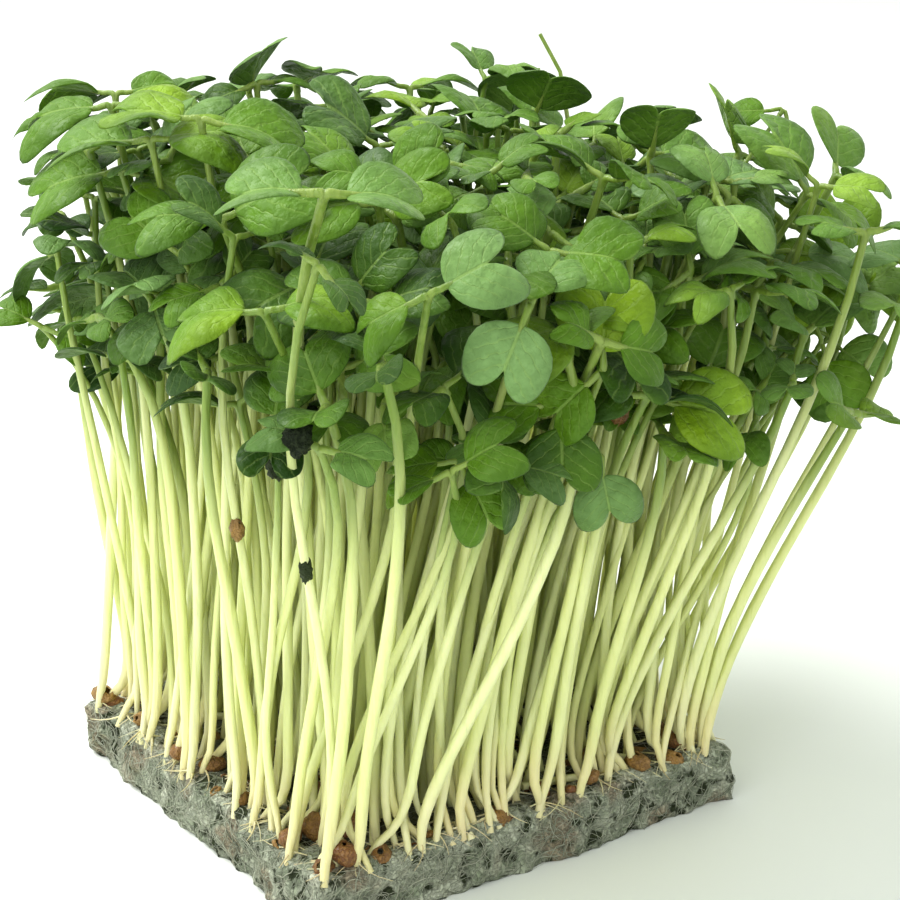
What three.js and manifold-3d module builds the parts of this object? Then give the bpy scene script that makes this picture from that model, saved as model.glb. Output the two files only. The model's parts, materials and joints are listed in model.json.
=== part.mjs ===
// A block of mustard microgreens on its fibre growing mat, in millimetres, +Z up.
// The origin is the middle of the mat's underside. X runs along the mat's longer side.
// Every sprout is a pale stem with two notched seed leaves. A few sprouts share one
// tangle of roots, which fills a plain hole in the mat. Empty seed coats lie on the mat.
import * as THREE from "three";
import { mergeVertices } from "three/addons/utils/BufferGeometryUtils.js";
import Module from "manifold-3d";

const wasm = await Module();
wasm.setup();

// Growing mat
const MAT_LENGTH = 62;
const MAT_WIDTH = 60;
const MAT_THICKNESS = 8;
const MAT_WAVE = 0.45; // height of the lumps in the felt
const MAT_STEPS = 6; // grid steps along each side
const RIM_DROP = 0.8; // the worn upper edge lies this far below the felt
const RIM_PULL = 0.4; // and this far inside the mat's outline
const RIM_RAGGED = 0.4; // and its ragged line wanders by this much

// Root tangles and their holes
const COLUMNS = 7;
const ROWS = 7;
const EDGE_MARGIN = 4.6; // from the mat's edge to the middle of the outer holes
const CORNER_PULL = 0.08; // the tangles beside corner seed coats stand further in, by this share
const ROOT_RADIUS = 2.4;
const ROOT_DEPTH = 4.2;
const ROOT_RISE = 0.35; // how far the tangle stands above the felt
const ROOT_SIDES = 6;
const HOLE_GAP = 0.3;
const ROOT_JITTER = 0.5;

// Stems
const SPROUTS_PER_ROOT = 3;
const BASE_RING = 1.35; // stems stand on a ring of this radius
const STEM_RADIUS = 0.85;
const STEM_TIP_RADIUS = 0.5; // the stem narrows where the leaf stalks cover it
const STEM_SIDES = 3;
const STEM_STEPS = 4;
const STEM_SUNK = 1.6; // how far a stem runs down into its root tangle
const INNER_HEIGHT = [49, 78]; // from the felt to the leaf joint, in the middle
const OUTER_HEIGHT = [50, 77]; // the same at the block's edge
const HANG = 4; // the lowest outer leaves hang this much lower towards +X, and higher towards -X
const FALL = 4.5; // the top lies this much lower towards +X and -Y, and higher towards -X and +Y
const LEAN = [4.8, -3.4]; // the whole stand leans this way at leaf height
const SPREAD = 1.12; // the stand is wider at leaf height by this factor
const OVERHANG = 3.5; // how far outer stems bend outwards
const SCATTER = 5.5; // how far a leaf joint strays from its place
const NOD = 0.6; // how far the tips of outer stems turn outwards
const SWAY = [0.05, 0.5]; // slope of a stem's tip in any direction
const BASE_SLOPE = [0.02, 0.3]; // slope of a stem where it leaves the felt
const STIFFNESS = 0.32; // the share of its height over which each end keeps its slope
const TALLEST_SHARE = 0.4; // a sprout first tries this upper share of the heights, and then all of them

// Leaves, with sizes across and along as shares of the leaf's length
const LEAF_LENGTH = [6.8, 9.6];
const LEAF_THICKNESS = 0.62;
const STALK = 2.2; // leaf stalk
const STALK_HALF_WIDTH = 0.75;
const STALK_END = 0.03; // where the blade's base begins to widen
const LEAF_MIDDLE = 0.3; // the point on the midrib that the facets meet in
const LEAF_OUTLINE = [[0.66, 0.4], [0.42, 0.9], [0, 0.7], [-0.42, 0.9], [-0.66, 0.4]];
const CUP = 0.24; // how far the sides rise out of the leaf's plane
const DROOP = 0.2; // how far the lobes sink below it
const OPENING = [0.75, 1.6]; // angle in radians between the stem's line and a leaf
const ROLL = 0.45; // turn in radians about the leaf's own middle line
const SMALLER = [0.78, 0.95]; // size of the second leaf
const OPPOSITE = 0.5; // how far in radians it may be from lying opposite the first

// Clearances between the middle lines and surfaces of two sprouts
const STEM_TO_STEM = 2.25;
const STEM_TO_LEAF = 1.9;
const LEAF_TO_LEAF = 1.4;
const SAMPLES = 7; // sample points from the middle of a leaf to its rim
const STEM_SAMPLES = 14; // sample points along each stem piece
const SHARED_FOOT = 4; // this many lowest ones are left out, where stems of a bunch may touch
const CELL = 0.4; // cell size of the grid that remembers where sprouts are
const GRID = [350, 350, 260];
const STEM_TRIES = 300;
const LEAF_TRIES = 16;
const SEED = 808;

// Seed coats: their places, and their size along, across and upwards
const SEED_COATS = [[-28.3, 27.3], [-28.4, -27], [-21, -27.6], [-4.4, -27.8], [22, -27.8], [27.6, -21.2]];
const SEED_COAT_RADII = [2, 1.4, 1.2];
const SEED_COAT_SIDES = [7, 5];
const SEED_COAT_SUNK = 0.4; // share of its height that lies in a dimple

const COLOURS = {
  mat: new THREE.MeshStandardMaterial({ color: 0x9aa08c, roughness: 0.95, metalness: 0 }),
  sprout: new THREE.MeshStandardMaterial({ color: 0x5f9a35, roughness: 0.5, metalness: 0 }),
  seed: new THREE.MeshStandardMaterial({ color: 0x6b4522, roughness: 0.6, metalness: 0 }),
};

/** A source of seeded random numbers from 0 to 1. */
function randomSource(seed) {
  let state = seed >>> 0;
  return () => {
    state = (Math.imul(state, 1664525) + 1013904223) >>> 0;
    return state / 4294967296;
  };
}

const random = randomSource(SEED);
const mix = (a, b, share) => a + (b - a) * share;
const between = (low, high) => mix(low, high, random());

/** The felt's height at a place on the mat, from a sum of waves. */
function feltHeight(x, y) {
  const wave = Math.sin(0.31 * x + 1.3) * Math.cos(0.27 * y - 0.6) + 0.6 * Math.sin(0.33 * x - 0.42 * y);
  return MAT_THICKNESS - MAT_WAVE + (MAT_WAVE * wave) / 1.6;
}

/** A closed solid from a three.js geometry, with its shared vertices merged. */
function solidOf(geometry) {
  geometry.deleteAttribute("normal");
  geometry.deleteAttribute("uv");
  const merged = mergeVertices(geometry, 1e-4);
  return new wasm.Manifold(
    new wasm.Mesh({
      numProp: 3,
      vertProperties: merged.attributes.position.array,
      triVerts: new Uint32Array(merged.index.array),
    }),
  );
}

/** A closed solid from points and triangles. */
function solidFrom(points, triangles) {
  const geometry = new THREE.BufferGeometry();
  const numbers = points.flatMap((point) => point.toArray());
  geometry.setAttribute("position", new THREE.Float32BufferAttribute(numbers, 3));
  geometry.setIndex(triangles.flat());
  return solidOf(geometry);
}

/** A named mesh from a solid. */
function meshOf(solid, name, material) {
  const { vertProperties, triVerts } = solid.getMesh();
  const geometry = new THREE.BufferGeometry();
  geometry.setAttribute("position", new THREE.BufferAttribute(vertProperties, 3));
  geometry.setIndex(new THREE.BufferAttribute(triVerts, 1));
  geometry.computeVertexNormals();
  const mesh = new THREE.Mesh(geometry, material);
  mesh.name = name;
  return mesh;
}

/** Remembers which cells are too near to sprouts that already stand. */
class Clearance {
  constructor() {
    const cells = GRID[0] * GRID[1] * GRID[2];
    this.taken = { stem: new Uint8Array(cells), leaf: new Uint8Array(cells) };
    this.balls = {};
  }

  /** The steps to all cells within a radius. */
  ball(radius) {
    if (!this.balls[radius]) {
      const reach = Math.ceil(radius / CELL);
      const steps = [];
      for (let i = -reach; i <= reach; i++)
        for (let j = -reach; j <= reach; j++)
          for (let k = -reach; k <= reach; k++)
            if (Math.sqrt(i * i + j * j + k * k) * CELL <= radius) steps.push([i, j, k]);
      this.balls[radius] = steps;
    }
    return this.balls[radius];
  }

  /** The cell that a point lies in. */
  cell(point) {
    return [
      Math.floor(point.x / CELL + GRID[0] / 2),
      Math.floor(point.y / CELL + GRID[1] / 2),
      Math.max(0, Math.floor(point.z / CELL)),
    ];
  }

  /** True if no point lies in a taken cell. */
  isFree(kind, points) {
    return points.every((point) => {
      const [i, j, k] = this.cell(point);
      return !this.taken[kind][(i * GRID[1] + j) * GRID[2] + k];
    });
  }

  /** Takes the cells within a radius of some points. */
  take(kind, points, radius) {
    for (const point of points) {
      const [x, y, z] = this.cell(point);
      for (const [i, j, k] of this.ball(radius))
        if (z + k >= 0) this.taken[kind][((x + i) * GRID[1] + y + j) * GRID[2] + z + k] = 1;
    }
  }
}

/** One seed leaf: its middle line starts at the leaf joint, and its blade past a short stalk. */
class Leaf {
  constructor(joint, up, heading, length) {
    const across = new THREE.Vector3(Math.cos(heading), Math.sin(heading), 0);
    across.addScaledVector(up, -across.dot(up)).normalize();
    const opening = between(OPENING[0], OPENING[1]);
    const roll = between(-ROLL, ROLL);
    this.joint = joint;
    this.length = length;
    this.along = up.clone().multiplyScalar(Math.cos(opening)).addScaledVector(across, Math.sin(opening));
    this.face = up.clone().multiplyScalar(Math.sin(opening)).addScaledVector(across, -Math.cos(opening));
    this.face.applyAxisAngle(this.along, roll);
    this.side = new THREE.Vector3().crossVectors(this.along, this.face);
    const stalkSide = STALK_HALF_WIDTH / length;
    const outline = [[stalkSide, STALK_END], ...LEAF_OUTLINE, [-stalkSide, STALK_END]];
    this.middle = this.point(0, LEAF_MIDDLE);
    this.outline = outline.map(([s, t]) => this.point(s, t));
  }

  /** A point on the leaf's middle surface, from its shares across and along. */
  point(s, t) {
    return this.joint
      .clone()
      .addScaledVector(this.along, STALK + t * this.length)
      .addScaledVector(this.side, s * this.length)
      .addScaledVector(this.face, (CUP * Math.abs(s) - DROOP * t * t) * this.length);
  }

  /** Points all over the facets of the leaf. */
  samples() {
    const points = [this.joint.clone().lerp(this.middle, 0.2), this.joint.clone().lerp(this.middle, 0.5)];
    for (let n = 0; n + 1 < this.outline.length; n++)
      for (let u = 1; u <= SAMPLES; u++)
        for (let v = 0; v <= u; v++) {
          const rim = this.outline[n].clone().lerp(this.outline[n + 1], v / u);
          points.push(this.middle.clone().lerp(rim, u / SAMPLES));
        }
    return points;
  }
}

/** One sprout: a bent stem, and two seed leaves at its tip. */
class Sprout {
  constructor(x, y, share) {
    // Shares of the way from the middle to the mat's edges
    const away = new THREE.Vector3((2 * x) / MAT_LENGTH, (2 * y) / MAT_WIDTH, 0);
    const edge = Math.min(1, Math.max(Math.abs(away.x), Math.abs(away.y)));
    const bend = edge * edge;
    const low = mix(INNER_HEIGHT[0], OUTER_HEIGHT[0] - HANG * away.x, bend);
    const fall = (FALL * (away.x - away.y)) / 2;
    const high = mix(INNER_HEIGHT[1], OUTER_HEIGHT[1], bend) - fall;
    const height = mix(high, low, random() * share);
    const base = new THREE.Vector3(x, y, feltHeight(x, y));
    this.tip = new THREE.Vector3(
      x * SPREAD + LEAN[0] + away.x * bend * OVERHANG + between(-SCATTER, SCATTER),
      y * SPREAD + LEAN[1] + away.y * bend * OVERHANG + between(-SCATTER, SCATTER),
      base.z + height,
    );
    const turn = between(0, 2 * Math.PI);
    const sway = between(SWAY[0], SWAY[1]);
    this.up = new THREE.Vector3(
      away.x * bend * NOD + Math.cos(turn) * sway,
      away.y * bend * NOD + Math.sin(turn) * sway,
      1,
    ).normalize();
    const lean = between(0, 2 * Math.PI);
    const slope = between(BASE_SLOPE[0], BASE_SLOPE[1]);
    const start = new THREE.Vector3(Math.cos(lean) * slope, Math.sin(lean) * slope, 1);
    this.path = new THREE.CubicBezierCurve3(
      base,
      base.clone().addScaledVector(start, height * STIFFNESS),
      this.tip.clone().addScaledVector(this.up, -height * STIFFNESS),
      this.tip,
    );
    this.leaves = [];
  }

  /** Points along the pieces of the stem, from a little above the felt. */
  stemSamples() {
    const knots = this.path.getPoints(STEM_STEPS);
    const points = [this.tip];
    for (let u = SHARED_FOOT; u < STEM_STEPS * STEM_SAMPLES; u++) {
      const piece = Math.floor(u / STEM_SAMPLES);
      points.push(knots[piece].clone().lerp(knots[piece + 1], u / STEM_SAMPLES - piece));
    }
    return points;
  }

  /** Tries to give the sprout two opposite leaves that are clear of all others. */
  unfold(clearance) {
    this.leaves = [];
    const size = between(LEAF_LENGTH[0], LEAF_LENGTH[1]);
    let heading = 0;
    for (let attempt = 0; attempt < 2 * LEAF_TRIES; attempt++) {
      const second = this.leaves.length === 1;
      const way = second ? heading + Math.PI + between(-OPPOSITE, OPPOSITE) : between(0, 2 * Math.PI);
      const length = second ? size * between(SMALLER[0], SMALLER[1]) : size;
      const leaf = new Leaf(this.tip, this.up, way, length);
      if (!clearance.isFree("leaf", leaf.samples())) continue;
      this.leaves.push(leaf);
      heading = way;
      if (second) return true;
    }
    return false;
  }
}

/** Grows a sprout from a place on the mat, and tries again until it is clear of all others. */
function grow(x, y, clearance) {
  for (let attempt = 0; attempt < STEM_TRIES; attempt++) {
    const sprout = new Sprout(x, y, Math.min(1, TALLEST_SHARE + (2 * attempt) / STEM_TRIES));
    const stem = sprout.stemSamples();
    if (!clearance.isFree("stem", stem) || !sprout.unfold(clearance)) continue;
    const leaves = sprout.leaves.flatMap((leaf) => leaf.samples());
    clearance.take("stem", stem, STEM_TO_STEM);
    clearance.take("leaf", stem, STEM_TO_LEAF);
    clearance.take("stem", leaves, STEM_TO_LEAF);
    clearance.take("leaf", leaves, LEAF_TO_LEAF);
    return sprout;
  }
  return null;
}

/** The middles of the root tangles, row by row. */
function rootPlaces() {
  const places = [];
  for (let row = 0; row < ROWS; row++)
    for (let column = 0; column < COLUMNS; column++) {
      const u = (2 * column) / (COLUMNS - 1) - 1;
      const v = (2 * row) / (ROWS - 1) - 1;
      const pull = u < 0 ? 1 - CORNER_PULL * (u * v) ** 4 : 1;
      places.push({
        x: u * pull * (MAT_LENGTH / 2 - EDGE_MARGIN) + between(-ROOT_JITTER, ROOT_JITTER),
        y: v * pull * (MAT_WIDTH / 2 - EDGE_MARGIN) + between(-ROOT_JITTER, ROOT_JITTER),
        turn: between(0, 2 * Math.PI),
        name: `sprouts_${row + 1}_${column + 1}`,
        sprouts: [],
      });
    }
  return places;
}

/** A tube with few sides along a sprout's stem, from inside the roots to its tip. */
function stemSolid(sprout) {
  const points = [];
  const triangles = [];
  const centres = sprout.path.getPoints(STEM_STEPS);
  const ways = centres.map((_, n) => sprout.path.getTangent(n / STEM_STEPS));
  centres[0].z -= STEM_SUNK;
  centres.forEach((centre, n) => {
    const one = new THREE.Vector3(1, 0, 0).addScaledVector(ways[n], -ways[n].x).normalize();
    const two = new THREE.Vector3().crossVectors(ways[n], one);
    const radius = n === STEM_STEPS ? STEM_TIP_RADIUS : STEM_RADIUS;
    for (let side = 0; side < STEM_SIDES; side++) {
      const angle = (2 * Math.PI * side) / STEM_SIDES;
      const corner = centre.clone().addScaledVector(one, Math.cos(angle) * radius);
      points.push(corner.addScaledVector(two, Math.sin(angle) * radius));
    }
  });
  for (let ring = 0; ring < STEM_STEPS; ring++)
    for (let side = 0; side < STEM_SIDES; side++) {
      const a = ring * STEM_SIDES + side;
      const b = ring * STEM_SIDES + ((side + 1) % STEM_SIDES);
      triangles.push([a, b, b + STEM_SIDES], [a, b + STEM_SIDES, a + STEM_SIDES]);
    }
  const top = STEM_STEPS * STEM_SIDES;
  for (let side = 1; side < STEM_SIDES - 1; side++)
    triangles.push([0, side + 1, side], [top, top + side, top + side + 1]);
  return solidFrom(points, triangles);
}

/** Both leaves of a sprout as one closed blade, joined by their stalks over the stem's tip. */
function leavesSolid(sprout) {
  const middles = [];
  const faces = [];
  const upper = [];
  const rim = [];
  for (const leaf of sprout.leaves) {
    const first = middles.length;
    middles.push(leaf.middle, ...leaf.outline);
    faces.push(...Array(1 + leaf.outline.length).fill(leaf.face));
    for (let n = 1; n < leaf.outline.length; n++) upper.push([first, first + n, first + n + 1]);
    for (let n = 1; n <= leaf.outline.length; n++) rim.push(first + n);
  }
  // The two stalks meet in two points beside the joint
  const [one, two] = sprout.leaves;
  const ends = [one.outline[0], two.outline[two.outline.length - 1]];
  const count = one.outline.length + 1;
  const aside = ends[0].clone().add(ends[1]).multiplyScalar(0.5).sub(sprout.tip);
  aside.addScaledVector(sprout.up, -aside.dot(sprout.up)).setLength(STALK_HALF_WIDTH);
  const right = middles.length;
  middles.push(sprout.tip.clone().add(aside), sprout.tip.clone().sub(aside));
  faces.push(sprout.up, sprout.up);
  const left = right + 1;
  upper.push([0, left, right], [0, right, 1], [0, count - 1, left]);
  upper.push([count, right, left], [count, left, count + 1], [count, 2 * count - 1, right]);
  rim.splice(count - 1, 0, left);
  rim.push(right);
  const half = LEAF_THICKNESS / 2;
  const shifted = (out) => middles.map((point, n) => point.clone().addScaledVector(faces[n], out));
  const points = [...shifted(half), ...shifted(-half)];
  const total = middles.length;
  const triangles = upper.concat(upper.map(([a, b, c]) => [a + total, c + total, b + total]));
  rim.forEach((a, n) => {
    const b = rim[(n + 1) % rim.length];
    triangles.push([a, b + total, b], [a, a + total, b + total]);
  });
  return solidFrom(points, triangles);
}

/** The root tangle of one bunch, a plug with few sides. */
function rootSolid(place, gap) {
  const radius = ROOT_RADIUS + gap;
  const height = ROOT_DEPTH + ROOT_RISE + 3 * gap;
  const geometry = new THREE.CylinderGeometry(radius, radius, height, ROOT_SIDES);
  geometry.rotateX(Math.PI / 2).rotateZ(place.turn + Math.PI / ROOT_SIDES);
  const top = feltHeight(place.x, place.y) + ROOT_RISE + 2 * gap;
  return solidOf(geometry.translate(place.x, place.y, top - height / 2));
}

/** A seed coat: a small squashed ball that lies in a dimple of the felt. */
function seedCoatSolid([x, y], gap) {
  const [a, b, c] = SEED_COAT_RADII.map((radius) => radius + gap);
  const turn = Math.atan2(y, x);
  const geometry = new THREE.SphereGeometry(1, ...SEED_COAT_SIDES).rotateX(Math.PI / 2);
  geometry.scale(a, b, c).rotateZ(turn);
  const height = feltHeight(x, y) - RIM_DROP / 2 + SEED_COAT_RADII[2] * (1 - 2 * SEED_COAT_SUNK);
  return solidOf(geometry.translate(x, y, height));
}

/** The felt mat: a slab with a lumpy top, ragged edges, a flat underside, and its holes and dimples. */
function matSolid(roots) {
  const points = [];
  const triangles = [];
  const ring = [];
  for (let i = 0; i < MAT_STEPS; i++) ring.push([i, 0]);
  for (let i = 0; i < MAT_STEPS; i++) ring.push([MAT_STEPS, i]);
  for (let i = MAT_STEPS; i > 0; i--) ring.push([i, MAT_STEPS]);
  for (let i = MAT_STEPS; i > 0; i--) ring.push([0, i]);
  const place = (i, j, pull) => [
    (i / MAT_STEPS - 0.5) * (MAT_LENGTH - 2 * pull),
    (j / MAT_STEPS - 0.5) * (MAT_WIDTH - 2 * pull),
  ];
  const levels = [0, 0.5, 1]; // shares of the rim's height
  for (const level of levels)
    for (const [i, j] of ring) {
      const ragged = RIM_RAGGED * (1 + Math.sin(1.9 * i + 2.3 * j + 5 * level));
      const [x, y] = place(i, j, level === 0 ? 0 : RIM_PULL * (2 * level - 1) + (ragged * level) / 2);
      points.push(new THREE.Vector3(x, y, level * (feltHeight(x, y) - RIM_DROP)));
    }
  const count = ring.length;
  for (let level = 0; level + 1 < levels.length; level++)
    for (let n = 0; n < count; n++) {
      const a = level * count + n;
      const b = level * count + ((n + 1) % count);
      triangles.push([a, b, b + count], [a, b + count, a + count]);
    }
  // The top is a grid inside the rim
  const top = new Map();
  ring.forEach(([i, j], n) => top.set(`${i},${j}`, (levels.length - 1) * count + n));
  for (let i = 1; i < MAT_STEPS; i++)
    for (let j = 1; j < MAT_STEPS; j++) {
      const [x, y] = place(i, j, 0);
      top.set(`${i},${j}`, points.length);
      points.push(new THREE.Vector3(x, y, feltHeight(x, y)));
    }
  for (let i = 0; i < MAT_STEPS; i++)
    for (let j = 0; j < MAT_STEPS; j++) {
      const corners = [[i, j], [i + 1, j], [i + 1, j + 1], [i, j + 1]];
      const [a, b, c, d] = corners.map(([u, v]) => top.get(`${u},${v}`));
      triangles.push([a, b, c], [a, c, d]);
    }
  // The underside is a flat fan round its middle
  const middle = points.length;
  points.push(new THREE.Vector3(0, 0, 0));
  for (let n = 0; n < count; n++) triangles.push([middle, (n + 1) % count, n]);
  let solid = solidFrom(points, triangles);
  for (const root of roots) solid = solid.subtract(rootSolid(root, HOLE_GAP));
  for (const coat of SEED_COATS) solid = solid.subtract(seedCoatSolid(coat, HOLE_GAP));
  return solid;
}

const object = new THREE.Group();
const roots = rootPlaces();
object.add(meshOf(matSolid(roots), "growing_mat", COLOURS.mat));

const clearance = new Clearance();
SEED_COATS.forEach((coat, n) => {
  object.add(meshOf(seedCoatSolid(coat, 0), `seed_coat_${n + 1}`, COLOURS.seed));
  const middle = new THREE.Vector3(coat[0], coat[1], MAT_THICKNESS);
  clearance.take("stem", [middle], SEED_COAT_RADII[0] + 2 * STEM_RADIUS);
});

// Every tangle gets its first sprout before any gets its second
for (let n = 0; n < SPROUTS_PER_ROOT; n++)
  for (const root of roots) {
    const angle = root.turn + (2 * Math.PI * n) / SPROUTS_PER_ROOT;
    const x = root.x + BASE_RING * Math.cos(angle);
    const y = root.y + BASE_RING * Math.sin(angle);
    const sprout = grow(x, y, clearance);
    if (sprout) root.sprouts.push(sprout);
  }

for (const root of roots) {
  let bunch = rootSolid(root, 0);
  for (const sprout of root.sprouts) bunch = bunch.add(stemSolid(sprout)).add(leavesSolid(sprout));
  object.add(meshOf(bunch, root.name, COLOURS.sprout));
}

export default object;
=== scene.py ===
"""Dresses a block of mustard microgreens that stands on its fibre growing mat.

Sizes are in millimetres until a mesh is made. Meshes are in metres, +Z up, and their origin is
the middle of the mat's underside. The sprouts grow by the same rule as the solids, so each bunch
stands where its solid is, and a second growth fills the gaps between them with finer sprouts.
"""
import json
import logging
import math
from dataclasses import dataclass, field
from enum import Enum

import bpy
import numpy as np
from mathutils import Matrix, Vector, noise

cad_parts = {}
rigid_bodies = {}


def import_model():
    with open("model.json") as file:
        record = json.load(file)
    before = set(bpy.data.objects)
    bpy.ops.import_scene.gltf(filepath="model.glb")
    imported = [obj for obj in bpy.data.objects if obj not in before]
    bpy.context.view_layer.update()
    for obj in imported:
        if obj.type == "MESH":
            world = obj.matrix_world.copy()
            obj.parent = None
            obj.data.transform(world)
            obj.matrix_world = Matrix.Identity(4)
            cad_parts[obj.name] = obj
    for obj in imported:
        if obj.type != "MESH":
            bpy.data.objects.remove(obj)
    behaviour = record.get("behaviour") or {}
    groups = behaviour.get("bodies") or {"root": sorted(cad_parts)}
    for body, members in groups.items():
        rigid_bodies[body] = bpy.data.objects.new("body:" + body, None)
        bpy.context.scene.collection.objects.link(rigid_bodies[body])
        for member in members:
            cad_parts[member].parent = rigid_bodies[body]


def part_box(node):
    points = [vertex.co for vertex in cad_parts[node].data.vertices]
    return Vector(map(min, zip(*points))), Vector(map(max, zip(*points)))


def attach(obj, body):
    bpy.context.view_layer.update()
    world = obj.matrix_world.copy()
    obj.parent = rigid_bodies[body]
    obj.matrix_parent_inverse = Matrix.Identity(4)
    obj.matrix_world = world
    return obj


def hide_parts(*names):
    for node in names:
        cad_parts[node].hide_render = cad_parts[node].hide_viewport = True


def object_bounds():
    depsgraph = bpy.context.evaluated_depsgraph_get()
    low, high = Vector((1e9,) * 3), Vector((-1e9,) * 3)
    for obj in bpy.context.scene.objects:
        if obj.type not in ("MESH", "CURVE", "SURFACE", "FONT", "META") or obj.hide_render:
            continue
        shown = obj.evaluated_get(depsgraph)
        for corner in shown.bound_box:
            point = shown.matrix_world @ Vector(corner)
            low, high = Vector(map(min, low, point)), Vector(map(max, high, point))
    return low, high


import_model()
cad_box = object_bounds()

MM = 0.001
BODY = "root"
log = logging.getLogger("microgreens")


class Slot(Enum):
    """The record's material slots."""

    FELT = "felt"
    SPROUT = "sprout"
    SEED_COAT = "seed_coat"


class Chance:
    """A seeded source of random numbers."""

    factor = 1664525
    step = 1013904223
    size = 2**32

    def __init__(self, seed: int) -> None:
        """Starts the source.

        Args:
            seed: Any whole number. The same seed gives the same numbers.
        """
        self.state = seed

    def share(self) -> float:
        """The next number from 0 to 1."""
        self.state = (self.state * self.factor + self.step) % self.size
        return self.state / self.size

    def between(self, low: float, high: float) -> float:
        """The next number between two others."""
        return low + (high - low) * self.share()

    def whole(self, count: int) -> int:
        """The next whole number below a count."""
        return min(count - 1, int(self.share() * count))

    def turn(self) -> float:
        """The next angle in a full circle, in radians."""
        return self.between(0, 2 * math.pi)


def mix(low: float, high: float, share: float) -> float:
    """The number at a share of the way from low to high."""
    return low + (high - low) * share


def unit(vector: np.ndarray) -> np.ndarray:
    """The vector with a length of 1."""
    return vector / np.linalg.norm(vector)


def bezier(corners: list[np.ndarray], shares: np.ndarray) -> np.ndarray:
    """Points of a cubic curve.

    Args:
        corners: Its four control points.
        shares: How far along the curve each point lies, from 0 to 1.

    Returns:
        One row for each share.
    """
    t = np.asarray(shares, float)[:, None]
    u = 1 - t
    a, b, c, d = corners
    return u**3 * a + 3 * u * u * t * b + 3 * u * t * t * c + t**3 * d


def picture_axes(heading: float, dip: float) -> np.ndarray:
    """The directions that run to the right, upwards and towards the camera in the photograph.

    Args:
        heading: How far the camera looks from +Y towards +X, in degrees.
        dip: How far it looks down, in degrees.

    Returns:
        One direction in each row.
    """
    turn = math.radians(heading)
    tilt = math.radians(dip)
    ahead = np.array([math.sin(turn) * math.cos(tilt), math.cos(turn) * math.cos(tilt), -math.sin(tilt)])
    right = np.array([math.cos(turn), -math.sin(turn), 0.0])
    return np.array([right, np.cross(right, ahead), -ahead])


CAMERA_HEADING = 34.3
CAMERA_DIP = 19.1
PICTURE = picture_axes(CAMERA_HEADING, CAMERA_DIP)


def link(piece: bpy.types.Object) -> bpy.types.Object:
    """Puts an object in the scene and gives it back."""
    bpy.context.scene.collection.objects.link(piece)
    return piece


def mesh_piece(
    name: str, points: np.ndarray, faces: list[tuple], edges: list[tuple] = ()
) -> bpy.types.Object:
    """A mesh object in the scene, with its place in its mesh.

    Args:
        name: The piece's name.
        points: Its points, in millimetres.
        faces: Its faces, as indices that go round with the outside in view.
        edges: Edges that no face has.

    Returns:
        The new object.
    """
    mesh = bpy.data.meshes.new(name)
    mesh.from_pydata((np.asarray(points) * MM).tolist(), list(edges), list(faces))
    mesh.update()
    return link(bpy.data.objects.new(name, mesh))


def shelve(name: str, pieces: list[bpy.types.Object]) -> bpy.types.Collection:
    """Moves pieces out of the scene, into a collection that it doesn't show."""
    shelf = bpy.data.collections.new(name)
    for piece in pieces:
        bpy.context.scene.collection.objects.unlink(piece)
        shelf.objects.link(piece)
    return shelf


def clear(shelf: bpy.types.Collection) -> None:
    """Throws a collection away with its pieces."""
    for piece in list(shelf.objects):
        bpy.data.objects.remove(piece)
    bpy.data.collections.remove(shelf)


def give_values(mesh: bpy.types.Mesh, name: str, values: np.ndarray) -> None:
    """Stores one number or one vector for each point of a mesh.

    Args:
        mesh: The mesh.
        name: The attribute's name.
        values: One row for each point.
    """
    values = np.asarray(values, np.float32)
    if values.ndim == 2:
        mesh.attributes.new(name, "FLOAT_VECTOR", "POINT").data.foreach_set("vector", values.ravel())
    else:
        mesh.attributes.new(name, "FLOAT", "POINT").data.foreach_set("value", values)


def hand_over(piece: bpy.types.Object, slot: Slot, *nodes: str) -> bpy.types.Object:
    """Makes a finished piece ride on the block, hides the solids that it stands for and logs its faces.

    Args:
        piece: The piece, made and dressed.
        slot: Not used.
        nodes: The solids that it stands for.

    Returns:
        The same piece.
    """
    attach(piece, BODY)
    if nodes:
        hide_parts(*nodes)
    log.info("%s: %d faces", piece.name, len(piece.data.polygons))
    return piece


class Sketch:
    """Adds nodes to one node tree and links them."""

    def __init__(self, tree: bpy.types.NodeTree) -> None:
        """Starts on a tree."""
        self.tree = tree

    def add(self, kind: str, feeds: dict | None = None, **settings: object) -> bpy.types.Node:
        """Adds a node.

        Args:
            kind: Blender's name for the node type.
            feeds: Values or sockets for its inputs, by name or number.
            settings: The node's own properties.

        Returns:
            The new node.
        """
        node = self.tree.nodes.new(kind)
        for name, value in settings.items():
            setattr(node, name, value)
        for name, value in (feeds or {}).items():
            self.feed(node.inputs[name], value)
        return node

    def feed(self, socket: bpy.types.NodeSocket, value: object) -> None:
        """Links a socket to an input, or sets the input's own value."""
        if isinstance(value, bpy.types.NodeSocket):
            self.tree.links.new(value, socket)
        else:
            socket.default_value = value

    def maths(self, operation: str, *values: object, clamp: bool = False) -> bpy.types.NodeSocket:
        """The result of a Math node on one, two or three values."""
        feeds = dict(enumerate(values))
        return self.add("ShaderNodeMath", feeds, operation=operation, use_clamp=clamp).outputs[0]

    def blend(self, share: object, low: object, high: object) -> bpy.types.NodeSocket:
        """A colour between two others."""
        return self.add("ShaderNodeMix", {0: share, 6: low, 7: high}, data_type="RGBA").outputs[2]

    def ramp(
        self, value: object, low: float, high: float, start: float = 0, end: float = 1
    ) -> bpy.types.NodeSocket:
        """A value taken smoothly from one range to another, and held at its ends."""
        feeds = {0: value, 1: low, 2: high, 3: start, 4: end}
        return self.add("ShaderNodeMapRange", feeds, interpolation_type="SMOOTHSTEP").outputs[0]


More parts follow.
